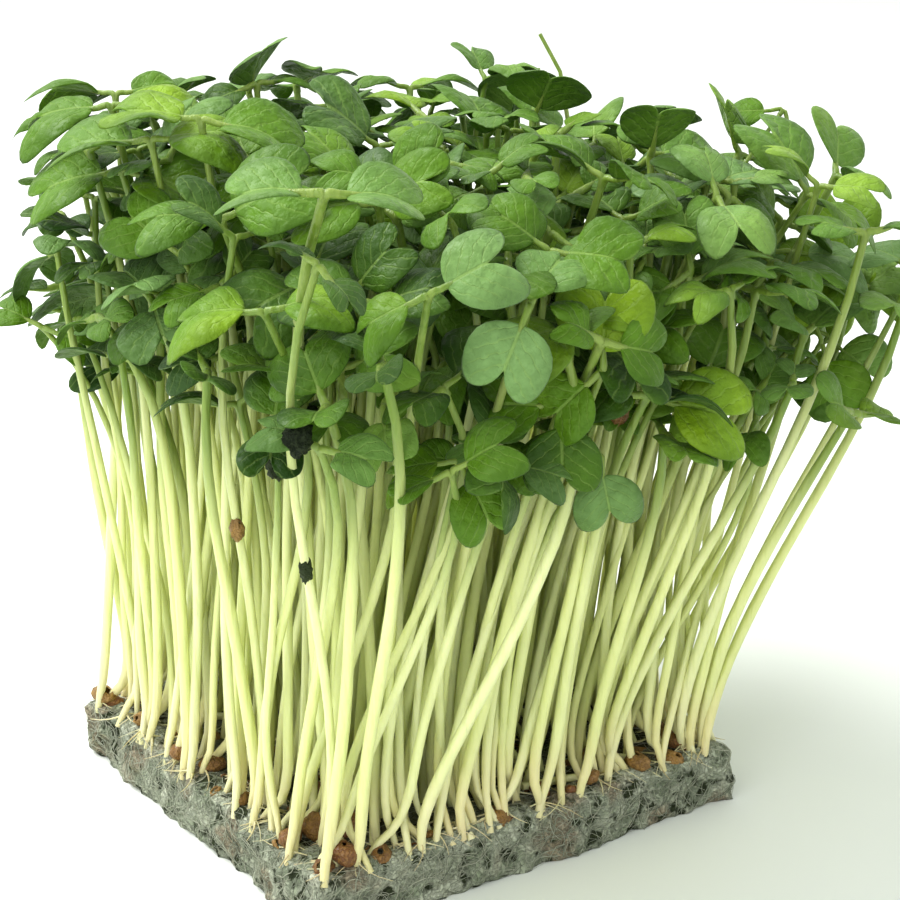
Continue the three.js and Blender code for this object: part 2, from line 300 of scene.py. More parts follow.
class Rig:
    """A Geometry Nodes tree with named inputs."""

    def __init__(self, name: str, inputs: dict[str, str]) -> None:
        """Starts a tree that takes the object's own geometry and the named inputs.

        Args:
            name: The tree's name.
            inputs: For each input its socket type, after the words NodeSocket.
        """
        self.tree = bpy.data.node_groups.new(name, "GeometryNodeTree")
        self.names = {}
        for label, kind in {"Geometry": "Geometry", **inputs}.items():
            socket = self.tree.interface.new_socket(label, in_out="INPUT", socket_type="NodeSocket" + kind)
            self.names[label] = socket.identifier
        self.tree.interface.new_socket("Geometry", in_out="OUTPUT", socket_type="NodeSocketGeometry")
        self.sketch = Sketch(self.tree)
        self.inputs = self.tree.nodes.new("NodeGroupInput").outputs

    def attribute(self, name: str, kind: str = "FLOAT") -> bpy.types.NodeSocket:
        """The values that the geometry carries under a name."""
        return self.sketch.add("GeometryNodeInputNamedAttribute", {"Name": name}, data_type=kind).outputs[0]

    def tubes(self, lines: object, sides: object, finish: object) -> bpy.types.NodeSocket:
        """Round tubes along lines, as thick as their radius attribute says.

        Args:
            lines: Geometry with edges only.
            sides: How many sides a tube has.
            finish: Its material.

        Returns:
            The tubes' geometry.
        """
        add = self.sketch.add
        curves = add("GeometryNodeMeshToCurve", {"Mesh": lines})
        ring = add("GeometryNodeCurvePrimitiveCircle", {"Resolution": sides, "Radius": 1.0})
        feeds = {"Curve": curves.outputs[0], "Profile Curve": ring.outputs[0]}
        feeds.update({"Scale": self.attribute("radius"), "Fill Caps": True})
        tubes = add("GeometryNodeCurveToMesh", feeds)
        smooth = add("GeometryNodeSetShadeSmooth", {"Geometry": tubes.outputs[0]})
        whole = add("GeometryNodeRealizeInstances", {"Geometry": smooth.outputs[0]})
        return add("GeometryNodeSetMaterial", {"Geometry": whole.outputs[0], "Material": finish}).outputs[0]

    def lay(self, points: object, rotation: object, more: dict[str, object]) -> bpy.types.NodeSocket:
        """Puts a copy of one of the forms on each point.

        Args:
            points: The points.
            rotation: How each copy is turned.
            more: What else feeds the node that puts them there.

        Returns:
            The copies' own geometry.
        """
        add = self.sketch.add
        feeds = {"Collection": self.inputs["Forms"], "Separate Children": True, "Reset Children": True}
        forms = add("GeometryNodeCollectionInfo", feeds)
        feeds = {"Points": points, "Instance": forms.outputs[0], "Pick Instance": True}
        feeds.update({"Rotation": rotation, **more})
        laid = add("GeometryNodeInstanceOnPoints", feeds)
        return add("GeometryNodeRealizeInstances", {"Geometry": laid.outputs[0]}).outputs[0]

    def random(self, low: object, high: object, seed: object) -> bpy.types.NodeSocket:
        """A number for each point, between two others."""
        feeds = {2: low, 3: high, "Seed": seed}
        return self.sketch.add("FunctionNodeRandomValue", feeds, data_type="FLOAT").outputs[1]

    def strew(self, density: object, seed: object, tone: object) -> tuple[bpy.types.Node, bpy.types.Node]:
        """Strews points over the geometry, and gives each a tone.

        Args:
            density: How many there are to a square metre.
            seed: The same seed gives the same points.
            tone: The points' tone.

        Returns:
            The node that strews them, and the node that gives the tone.
        """
        add = self.sketch.add
        feeds = {"Mesh": self.inputs["Geometry"], "Density": density, "Seed": seed}
        spread = add("GeometryNodeDistributePointsOnFaces", feeds)
        feeds = {"Geometry": spread.outputs["Points"], "Name": "tone", "Value": tone}
        return spread, add("GeometryNodeStoreNamedAttribute", feeds)

    def end(self, geometry: object) -> "Rig":
        """Leads the finished geometry out of the tree."""
        out = self.tree.nodes.new("NodeGroupOutput")
        self.sketch.feed(out.inputs[0], geometry)
        return self

    def run(self, piece: bpy.types.Object, values: dict[str, object]) -> None:
        """Runs the tree on a piece and leaves the result as its plain mesh.

        Args:
            piece: The object whose geometry goes in.
            values: A value for each named input.
        """
        modifier = piece.modifiers.new(self.tree.name, "NODES")
        modifier.node_group = self.tree
        for label, value in values.items():
            modifier[self.names[label]] = value
        graph = bpy.context.evaluated_depsgraph_get()
        made = bpy.data.meshes.new_from_object(
            piece.evaluated_get(graph), preserve_all_data_layers=True, depsgraph=graph
        )
        piece.modifiers.remove(modifier)
        piece.data = made
        made.name = piece.name


@dataclass(frozen=True)
class Spacing:
    """Clearances between the middle lines and surfaces of two sprouts."""

    stem_to_stem: float = 2.25
    stem_to_leaf: float = 1.9
    leaf_to_leaf: float = 1.4


class Clearance:
    """Remembers which cells of space are too near to sprouts that already stand."""

    cell = 0.4
    grid = (350, 350, 260)

    def __init__(self) -> None:
        """Starts with all cells free."""
        count = self.grid[0] * self.grid[1] * self.grid[2]
        self.taken = {"stem": np.zeros(count, bool), "leaf": np.zeros(count, bool)}
        self.balls: dict[float, tuple[np.ndarray, np.ndarray]] = {}

    def ball(self, radius: float) -> tuple[np.ndarray, np.ndarray]:
        """The steps to all cells within a radius: as one index, and upwards only."""
        if radius not in self.balls:
            reach = math.ceil(radius / self.cell)
            steps = np.arange(-reach, reach + 1)
            i, j, k = np.meshgrid(steps, steps, steps, indexing="ij")
            near = np.sqrt(i * i + j * j + k * k) * self.cell <= radius
            flat = (i[near] * self.grid[1] + j[near]) * self.grid[2] + k[near]
            self.balls[radius] = (flat, k[near])
        return self.balls[radius]

    def cells(self, points: np.ndarray) -> tuple[np.ndarray, np.ndarray]:
        """The cells that points lie in: as one index, and their height only."""
        i = np.floor(points[:, 0] / self.cell + self.grid[0] / 2).astype(int)
        j = np.floor(points[:, 1] / self.cell + self.grid[1] / 2).astype(int)
        k = np.maximum(0, np.floor(points[:, 2] / self.cell)).astype(int)
        return (i * self.grid[1] + j) * self.grid[2] + k, k

    def is_free(self, kind: str, points: np.ndarray) -> bool:
        """True if no point lies in a taken cell."""
        return not self.taken[kind][self.cells(points)[0]].any()

    def take(self, kind: str, points: np.ndarray, radius: float) -> None:
        """Takes the cells within a radius of some points."""
        flat, heights = self.cells(points)
        steps, rises = self.ball(radius)
        above = heights[:, None] + rises[None, :] >= 0
        self.taken[kind][(flat[:, None] + steps[None, :])[above]] = True

    def take_sprout(self, sprout: "Sprout", spacing: Spacing) -> None:
        """Takes the cells round a whole sprout."""
        stem = sprout.stem_samples()
        leaves = np.concatenate([leaf.samples() for leaf in sprout.leaves])
        self.take("stem", stem, spacing.stem_to_stem)
        self.take("leaf", stem, spacing.stem_to_leaf)
        self.take("stem", leaves, spacing.stem_to_leaf)
        self.take("leaf", leaves, spacing.leaf_to_leaf)


@dataclass(frozen=True)
class LeafPlan:
    """How seed leaves grow, as in the solids. Outline points are shares of a leaf's length."""

    length: tuple[float, float] = (6.8, 9.6)
    stalk: float = 2.2
    stalk_half_width: float = 0.75
    stalk_end: float = 0.03
    middle: float = 0.3
    outline: tuple = ((0.66, 0.4), (0.42, 0.9), (0, 0.7), (-0.42, 0.9), (-0.66, 0.4))
    cup: float = 0.24
    droop: float = 0.2
    opening: tuple[float, float] = (0.75, 1.6)
    roll: float = 0.45
    smaller: tuple[float, float] = (0.78, 0.95)
    opposite: float = 0.5
    tries: int = 16
    stalk_samples: tuple[float, ...] = (0.2, 0.5)
    facet_steps: int = 7


LEAF = LeafPlan()


def sample_weights(facets: int, steps: int) -> np.ndarray:
    """Weights that spread points over a leaf's facets.

    Args:
        facets: How many facets meet in the leaf's middle.
        steps: How many steps lie between the middle and the rim.

    Returns:
        A row for each point, with the weight of the joint, the middle and each outline point.
    """
    rows = []
    for share in LEAF.stalk_samples:
        rows.append([1 - share, share] + [0] * (facets + 1))
    for facet in range(facets):
        for u in range(1, steps + 1):
            for v in range(u + 1):
                row = [0.0, 1 - u / steps] + [0.0] * (facets + 1)
                row[2 + facet] = (1 - v / u) * u / steps
                row[3 + facet] = v / steps
                rows.append(row)
    return np.array(rows)


LEAF_WEIGHTS = sample_weights(len(LEAF.outline) + 1, LEAF.facet_steps)


class Leaf:
    """One seed leaf: its middle line starts at the leaf joint, and its blade past a short stalk."""

    def __init__(
        self, joint: np.ndarray, along: np.ndarray, face: np.ndarray, roll: float, length: float
    ) -> None:
        """Sets a leaf on a joint.

        Args:
            joint: Where the leaf meets the stem.
            along: The direction of its middle line.
            face: The direction that its upper side faces.
            roll: How far it is turned about its middle line, in radians.
            length: The blade's length.
        """
        self.joint = joint
        self.length = length
        self.along = along
        self.face = face * math.cos(roll) + np.cross(along, face) * math.sin(roll)
        self.side = np.cross(self.along, self.face)

    @classmethod
    def opened(
        cls, joint: np.ndarray, up: np.ndarray, heading: float, length: float, chance: Chance
    ) -> "Leaf":
        """A leaf that opens from a stem's tip.

        Args:
            joint: The tip.
            up: The stem's direction there.
            heading: Which way the leaf points, as an angle from +X.
            length: The blade's length.
            chance: Where its opening and its roll come from.

        Returns:
            The leaf.
        """
        across = np.array([math.cos(heading), math.sin(heading), 0.0])
        across = unit(across - up * across.dot(up))
        opening = chance.between(*LEAF.opening)
        roll = chance.between(-LEAF.roll, LEAF.roll)
        along = up * math.cos(opening) + across * math.sin(opening)
        face = up * math.sin(opening) - across * math.cos(opening)
        return cls(joint, along, face, roll, length)

    def point(self, across: float, forwards: float) -> np.ndarray:
        """A point on the leaf's middle surface, from its shares across and along."""
        out = self.joint + self.along * (LEAF.stalk + forwards * self.length)
        out = out + self.side * (across * self.length)
        return out + self.face * ((LEAF.cup * abs(across) - LEAF.droop * forwards**2) * self.length)

    def samples(self) -> np.ndarray:
        """Points all over the facets of the leaf."""
        stalk = LEAF.stalk_half_width / self.length
        outline = [(stalk, LEAF.stalk_end), *LEAF.outline, (-stalk, LEAF.stalk_end)]
        corners = [self.joint, self.point(0, LEAF.middle)] + [self.point(s, t) for s, t in outline]
        return LEAF_WEIGHTS @ np.array(corners)

    def turned(self) -> Matrix:
        """The turn that takes a flat blade, with its tip towards +X and its face up, to this leaf."""
        return Matrix(np.array([self.along, -self.side, self.face]).T.tolist())


@dataclass(frozen=True)
class StemPlan:
    """How stems grow, as in the solids."""

    inner_height: tuple[float, float] = (49, 78)
    outer_height: tuple[float, float] = (50, 77)
    hang: float = 4
    fall: float = 4.5
    lean: tuple[float, float] = (4.8, -3.4)
    spread: float = 1.12
    overhang: float = 3.5
    scatter: float = 5.5
    nod: float = 0.6
    sway: tuple[float, float] = (0.05, 0.5)
    base_slope: tuple[float, float] = (0.02, 0.3)
    stiffness: float = 0.32


STEM_STEPS = 4
STEM_SAMPLES = 14
SHARED_FOOT = 4
STEM_KNOTS = np.linspace(0, 1, STEM_STEPS + 1)


def stem_weights() -> np.ndarray:
    """Weights that spread points along the pieces of a stem, from a little above the felt."""
    rows = [[0.0] * STEM_STEPS + [1.0]]
    for u in range(SHARED_FOOT, STEM_STEPS * STEM_SAMPLES):
        piece = u // STEM_SAMPLES
        row = [0.0] * (STEM_STEPS + 1)
        row[piece] = 1 - (u / STEM_SAMPLES - piece)
        row[piece + 1] = u / STEM_SAMPLES - piece
        rows.append(row)
    return np.array(rows)


STEM_WEIGHTS = stem_weights()


@dataclass
class Mat:
    """The growing mat's sizes, as in the solids."""

    length: float = 62
    width: float = 60
    thickness: float = 8
    wave: float = 0.45
    rim_drop: float = 0.8

    def height(self, x: float, y: float) -> float:
        """The felt's height at a place on the mat."""
        wave = math.sin(0.31 * x + 1.3) * math.cos(0.27 * y - 0.6) + 0.6 * math.sin(0.33 * x - 0.42 * y)
        return self.thickness - self.wave + self.wave * wave / 1.6


MAT = Mat()


class Sprout:
    """One sprout: a bent stem, and two seed leaves at its tip."""

    def __init__(self, x: float, y: float, share: float, plan: StemPlan, chance: Chance) -> None:
        """Grows a stem.

        Args:
            x: Where it stands on the mat, along the mat.
            y: The same, across the mat.
            share: How much of the range of heights it may take, from the top.
            plan: How stems grow.
            chance: Where its bends come from.
        """
        away = np.array([2 * x / MAT.length, 2 * y / MAT.width, 0.0])
        edge = min(1.0, max(abs(away[0]), abs(away[1])))
        bend = edge * edge
        low = mix(plan.inner_height[0], plan.outer_height[0] - plan.hang * away[0], bend)
        fall = plan.fall * (away[0] - away[1]) / 2
        high = mix(plan.inner_height[1], plan.outer_height[1], bend) - fall
        height = mix(high, low, chance.share() * share)
        base = np.array([x, y, MAT.height(x, y)])
        tip_x = x * plan.spread + plan.lean[0] + away[0] * bend * plan.overhang
        tip_x += chance.between(-plan.scatter, plan.scatter)
        tip_y = y * plan.spread + plan.lean[1] + away[1] * bend * plan.overhang
        tip_y += chance.between(-plan.scatter, plan.scatter)
        self.tip = np.array([tip_x, tip_y, base[2] + height])
        turn = chance.turn()
        sway = chance.between(*plan.sway)
        nod = away * (bend * plan.nod)
        self.up = unit(nod + np.array([math.cos(turn) * sway, math.sin(turn) * sway, 1.0]))
        lean = chance.turn()
        slope = chance.between(*plan.base_slope)
        start = np.array([math.cos(lean) * slope, math.sin(lean) * slope, 1.0])
        reach = height * plan.stiffness
        self.path = [base, base + start * reach, self.tip - self.up * reach, self.tip]
        self.leaves: list[Leaf] = []

    def stem_samples(self) -> np.ndarray:
        """Points along the pieces of the stem, from a little above the felt."""
        return STEM_WEIGHTS @ bezier(self.path, STEM_KNOTS)

    def unfold(
        self, clearance: Clearance, chance: Chance, lengths: tuple[float, float] = LEAF.length
    ) -> bool:
        """Tries to give the sprout two opposite leaves that are clear of all others.

        Args:
            clearance: What already stands.
            chance: Where the leaves' turns come from.
            lengths: How short and how long the first leaf may be.

        Returns:
            True if both leaves have room.
        """
        self.leaves = []
        size = chance.between(*lengths)
        heading = 0.0
        for _ in range(2 * LEAF.tries):
            second = len(self.leaves) == 1
            if second:
                way = heading + math.pi + chance.between(-LEAF.opposite, LEAF.opposite)
            else:
                way = chance.turn()
            length = size * chance.between(*LEAF.smaller) if second else size
            leaf = Leaf.opened(self.tip, self.up, way, length, chance)
            if not clearance.is_free("leaf", leaf.samples()):
                continue
            self.leaves.append(leaf)
            heading = way
            if second:
                return True
        return False


@dataclass
class Bunch:
    """The sprouts that share one tangle of roots."""

    name: str
    x: float
    y: float
    turn: float
    sprouts: list[Sprout] = field(default_factory=list)


@dataclass(frozen=True)
class Filling:
    """One growth of finer sprouts between those that stand."""

    spacing: Spacing
    leaf_length: tuple[float, float]
    top_share: float
    count: int
    rounds: int
    seed: int


@dataclass
class Stand:
    """All the sprouts on the mat: those of the solids, and the finer ones between them."""

    columns: int = 7
    rows: int = 7
    edge_margin: float = 4.6
    corner_pull: float = 0.08
    root_jitter: float = 0.5
    sprouts_per_root: int = 3
    base_ring: float = 1.35
    tallest_share: float = 0.4
    tries: int = 300
    seed: int = 808
    seed_coats: tuple = ((-28.3, 27.3), (-28.4, -27), (-21, -27.6), (-4.4, -27.8), (22, -27.8), (27.6, -21.2))
    seed_coat_radius: float = 2
    stem_radius: float = 0.85
    fillings: tuple = (
        Filling(Spacing(1.5, 1.0, 0.8), (6.2, 8.6), 0.6, 90, 600, 4471),
        Filling(Spacing(1.3, 0.7, 0.45), (5.2, 7.6), 1.0, 110, 1000, 5113),
        Filling(Spacing(1.15, 0.5, 0.3), (4.6, 6.4), 0.5, 70, 800, 6203),
    )
    fill_plan: StemPlan = StemPlan(inner_height=(46, 78), outer_height=(48, 77), scatter=9, sway=(0.05, 0.6))
    fill_tries: int = 24
    fill_margin: float = 1.6
    fill_room: float = 0.5

    def bunches(self) -> list[Bunch]:
        """The bunches of the solids, row by row, with their sprouts."""
        chance = Chance(self.seed)
        roots = []
        for row in range(self.rows):
            for column in range(self.columns):
                u = 2 * column / (self.columns - 1) - 1
                v = 2 * row / (self.rows - 1) - 1
                pull = 1 - self.corner_pull * (u * v) ** 4 if u < 0 else 1
                x = u * pull * (MAT.length / 2 - self.edge_margin)
                x += chance.between(-self.root_jitter, self.root_jitter)
                y = v * pull * (MAT.width / 2 - self.edge_margin)
                y += chance.between(-self.root_jitter, self.root_jitter)
                roots.append(Bunch(f"sprouts_{row + 1}_{column + 1}", x, y, chance.turn()))
        self.clearance = self.with_seed_coats()
        for n in range(self.sprouts_per_root):
            for root in roots:
                angle = root.turn + 2 * math.pi * n / self.sprouts_per_root
                x = root.x + self.base_ring * math.cos(angle)
                y = root.y + self.base_ring * math.sin(angle)
                sprout = self.grow(x, y, chance)
                if sprout:
                    root.sprouts.append(sprout)
        return roots

    def with_seed_coats(self) -> Clearance:
        """Free space with room left for the seed coats on the felt."""
        clearance = Clearance()
        for x, y in self.seed_coats:
            middle = np.array([[x, y, MAT.thickness]], float)
            clearance.take("stem", middle, self.seed_coat_radius + 2 * self.stem_radius)
        return clearance

    def grow(self, x: float, y: float, chance: Chance) -> Sprout | None:
        """Grows a sprout, and tries again until it is clear of all others."""
        for attempt in range(self.tries):
            share = min(1, self.tallest_share + 2 * attempt / self.tries)
            sprout = Sprout(x, y, share, StemPlan(), chance)
            if not self.clearance.is_free("stem", sprout.stem_samples()):
                continue
            if sprout.unfold(self.clearance, chance):
                self.clearance.take_sprout(sprout, Spacing())
                return sprout
        return None

    def fill(self, roots: list[Bunch]) -> list[Bunch]:
        """Grows finer sprouts in the gaps, and adds each to the nearest bunch.

        Args:
            roots: The bunches of the solids.

        Returns:
            Bunches of the same names that hold only the new sprouts.
        """
        added = [Bunch(root.name, root.x, root.y, root.turn) for root in roots]
        standing = [sprout for root in roots for sprout in root.sprouts]
        for filling in self.fillings:
            chance = Chance(filling.seed)
            clearance = self.with_seed_coats()
            for sprout in standing:
                clearance.take_sprout(sprout, filling.spacing)
            count = 0
            for _ in range(filling.rounds):
                if count == filling.count:
                    break
                x = chance.between(-1, 1) * (MAT.length / 2 - self.fill_margin)
                y = chance.between(-1, 1) * (MAT.width / 2 - self.fill_margin)
                sprout = self.squeeze_in(x, y, clearance, filling, chance)
                if sprout:
                    standing.append(sprout)
                    min(added, key=lambda root: (root.x - x) ** 2 + (root.y - y) ** 2).sprouts.append(sprout)
                    count += 1
            log.info("fill sprouts: %d", count)
        return added

    def squeeze_in(
        self, x: float, y: float, clearance: Clearance, filling: Filling, chance: Chance
    ) -> Sprout | None:
        """Grows a finer sprout from a place, if there is room for it there and inside the solids' box."""
        low = np.array(cad_box[0]) / MM - self.fill_room
        high = np.array(cad_box[1]) / MM + self.fill_room
        for _ in range(self.fill_tries):
            sprout = Sprout(x, y, filling.top_share, self.fill_plan, chance)
            if not clearance.is_free("stem", sprout.stem_samples()):
                continue
            if not sprout.unfold(clearance, chance, filling.leaf_length):
                continue
            leaves = np.concatenate([leaf.samples() for leaf in sprout.leaves])
            if (leaves > low).all() and (leaves < high).all():
                clearance.take_sprout(sprout, filling.spacing)
                return sprout
        return None


def note_places(roots: list[Bunch]) -> None:
    """Reports how far each bunch's leaf joints lie outside its solid, which should be nothing."""
    worst = 0.0
    for root in roots:
        low, high = (np.array(corner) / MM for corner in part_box(root.name))
        for sprout in root.sprouts:
            for leaf in sprout.leaves:
                end = leaf.point(0, LEAF.middle)
                worst = max(worst, float(np.max([low - end, end - high])))
        if not root.sprouts:
            log.warning("%s has no sprouts", root.name)
    log.info("leaves lie at most %.2f mm outside their solids", worst)


@dataclass
class LeafForms:
    """Blades one unit long that the leaves are taken from: notched, cupped and each a little different."""

    count: int = 14
    steps: tuple[int, ...] = (6, 6, 5)
    half_outline: tuple = (
        ((0.05, 0.0), (0.18, 0.0), (0.55, 0.1), (0.63, 0.45)),
        ((0.63, 0.45), (0.68, 0.75), (0.58, 1.0), (0.35, 0.99)),
        ((0.35, 0.99), (0.18, 0.98), (0.06, 0.86), (0.0, 0.68)),
    )
    rings: tuple[float, ...] = (0.3, 0.6, 0.85, 0.97)
    middle: float = 0.35
    half_thickness: float = 0.028
    fold: float = 0.12
    cup: tuple[float, float] = (0.12, 0.55)
    droop: tuple[float, float] = (0.08, 0.36)
    curl: tuple[float, float] = (0.4, 1.9)
    wave: tuple[float, float] = (0.01, 0.05)
    skew: float = 0.1
    flat_share: float = 0.3
    fewest_lobes: int = 2
    more_lobes: int = 4
    seed: int = 811

    def outline(self) -> np.ndarray:
        """The blade's rim, from the stalk round the tip, as shares across and along."""
        half = []
        for corners, steps in zip(self.half_outline, self.steps):
            half.append(bezier([np.array(corner) for corner in corners], np.arange(steps) / steps))
        half = np.concatenate(half)
        notch = np.array([self.half_outline[-1][-1]])
        return np.concatenate([half, notch, half[::-1] * (-1, 1)])

    def form(self, name: str, chance: Chance) -> bpy.types.Object:
        """One closed blade: two skins that meet in a round rim."""
        rim = self.outline()
        rim[:, 0] *= 1 + chance.between(-self.skew, self.skew) + chance.between(-1, 1) * self.skew * rim[:, 1]
        around = len(rim)
        cup = chance.between(*self.cup)
        droop = chance.between(*self.droop)
        curl = chance.between(*self.curl)
        wave = chance.between(*self.wave)
        lobes = self.fewest_lobes + chance.whole(self.more_lobes)
        phase = chance.turn()
        points = []
        values = []
        angles = np.linspace(0, 2 * math.pi, around)
        for under in (0, 1):
            for ring in (0.0, *self.rings) + ((1.0,) if under == 0 else ()):
                spread = np.array([[0, self.middle]]) + (rim - (0, self.middle)) * ring
                spread = spread[:1] if ring == 0 else spread
                across, along = spread.T
                height = cup * (np.hypot(across, self.fold) - self.fold) - droop * along**2
                past = np.maximum(0, np.hypot(across, along - self.middle) - self.flat_share)
                height -= curl * past**2
                height += wave * np.sin(lobes * angles[: len(spread)] + phase) * ring**2
                height += self.half_thickness * math.sqrt(1 - ring**8) * (1 - 2 * under)
                points.append(np.stack([along, -across, height], axis=1))
                values.append(np.stack([across, along, np.full(len(spread), float(under))], axis=1))
        faces = []
        top = [0, *(1 + around * n for n in range(len(self.rings) + 1))]
        low_start = top[-1] + around
        low = [low_start, *(low_start + 1 + around * n for n in range(len(self.rings))), top[-1]]
        for starts, flip in ((top, False), (low, True)):
            for n in range(around):
                m = (n + 1) % around
                fan = (starts[0], starts[1] + n, starts[1] + m)
                faces.append(fan[::-1] if flip else fan)
                for inner, outer in zip(starts[1:], starts[2:]):
                    quad = (inner + n, outer + n, outer + m, inner + m)
                    faces.append(quad[::-1] if flip else quad)
        piece = mesh_piece(name, np.concatenate(points) / MM, faces)
        piece.data.shade_smooth()
        give_values(piece.data, "blade", np.concatenate(values))
        return piece

    def collection(self) -> bpy.types.Collection:
        """All the forms, in a collection that the scene doesn't show."""
        chance = Chance(self.seed)
        return shelve("leaf_forms", [self.form(f"leaf_form_{n + 10}", chance) for n in range(self.count)])


class Effects:
    """Shader groups that more than one finish uses. Each is built once."""

    made: dict[str, bpy.types.NodeTree] = {}

    @classmethod
    def group(cls, name: str) -> bpy.types.NodeTree:
        """The named group."""
        if name not in cls.made:
            cls.made[name] = getattr(cls, name)()
        return cls.made[name]

    @staticmethod
    def start(
        name: str, inputs: dict[str, float]
    ) -> tuple[bpy.types.NodeTree, Sketch, bpy.types.NodeOutputs]:
        """A new group with named number inputs and an output for a mask."""
        tree = bpy.data.node_groups.new(name, "ShaderNodeTree")
        for label, value in inputs.items():
            socket = tree.interface.new_socket(label, in_out="INPUT", socket_type="NodeSocketFloat")
            socket.default_value = value
        tree.interface.new_socket("Mask", in_out="OUTPUT", socket_type="NodeSocketFloat")
        return tree, Sketch(tree), tree.nodes.new("NodeGroupInput").outputs

    @staticmethod
    def mottle() -> bpy.types.NodeTree:
        """Soft patches of any size, in Object coordinates."""
        plain = {"Scale": 200.0, "Detail": 3.0, "Low": 0.35, "High": 0.65}
        tree, sketch, inputs = Effects.start("mottle", plain)
        place = sketch.add("ShaderNodeTexCoord").outputs["Object"]
        feeds = {"Vector": place, "Scale": inputs["Scale"], "Detail": inputs["Detail"]}
        patches = sketch.add("ShaderNodeTexNoise", feeds).outputs[0]
        mask = sketch.ramp(patches, inputs["Low"], inputs["High"])
        sketch.add("NodeGroupOutput", {"Mask": mask})
        return tree

    @staticmethod
    def streaks() -> bpy.types.NodeTree:
        """Fine streaks that run upwards, in Object coordinates."""
        plain = {"Across": 900.0, "Along": 60.0, "Low": 0.3, "High": 0.7}
        tree, sketch, inputs = Effects.start("streaks", plain)
        place = sketch.add("ShaderNodeTexCoord").outputs["Object"]
        feeds = {0: inputs["Across"], 1: inputs["Across"], 2: inputs["Along"]}
        sizes = sketch.add("ShaderNodeCombineXYZ", feeds)
        spread = sketch.add("ShaderNodeVectorMath", {0: place, 1: sizes.outputs[0]}, operation="MULTIPLY")
        lines = sketch.add("ShaderNodeTexNoise", {"Vector": spread.outputs[0], "Scale": 1.0, "Detail": 2.0})
        mask = sketch.ramp(lines.outputs[0], inputs["Low"], inputs["High"])
        sketch.add("NodeGroupOutput", {"Mask": mask})
        return tree


class Finish:
    """A material with a Principled shader, and short words for what feeds it."""

    def __init__(self, name: str, **plain: object) -> None:
        """Starts a material.

        Args:
            name: The material's name.
            plain: Plain values for the shader's inputs, with underscores for spaces.
        """
        self.material = bpy.data.materials.new(name)
        self.material.use_nodes = True
        self.sketch = Sketch(self.material.node_tree)
        self.shader = self.material.node_tree.nodes["Principled BSDF"]
        for label, value in plain.items():
            self.shader.inputs[label.replace("_", " ")].default_value = value

    def effect(self, name: str, **values: float) -> bpy.types.NodeSocket:
        """The mask of a shared effect with values of its own."""
        node = self.sketch.add("ShaderNodeGroup")
        node.node_tree = Effects.group(name)
        for label, value in values.items():
            node.inputs[label].default_value = value
        return node.outputs["Mask"]

    def attribute(self, name: str, part: str = "Fac") -> bpy.types.NodeSocket:
        """Values that the piece carries."""
        return self.sketch.add("ShaderNodeAttribute", attribute_name=name).outputs[part]

    def bump(self, height: bpy.types.NodeSocket, distance: float) -> None:
        """Leads a height into the shader's normal."""
        feeds = {"Height": height, "Distance": distance, "Strength": 1.0}
        self.sketch.feed(self.shader.inputs["Normal"], self.sketch.add("ShaderNodeBump", feeds).outputs[0])

    def colour(self, value: bpy.types.NodeSocket) -> None:
        """Leads a colour into the shader."""
        self.sketch.feed(self.shader.inputs["Base Color"], value)

    def roughness(self, value: bpy.types.NodeSocket) -> None:
        """Leads a roughness into the shader."""
        self.sketch.feed(self.shader.inputs["Roughness"], value)


def opaque(red: float, green: float, blue: float) -> tuple[float, float, float, float]:
    """A colour with nothing see-through in it."""
    return (red, green, blue, 1.0)


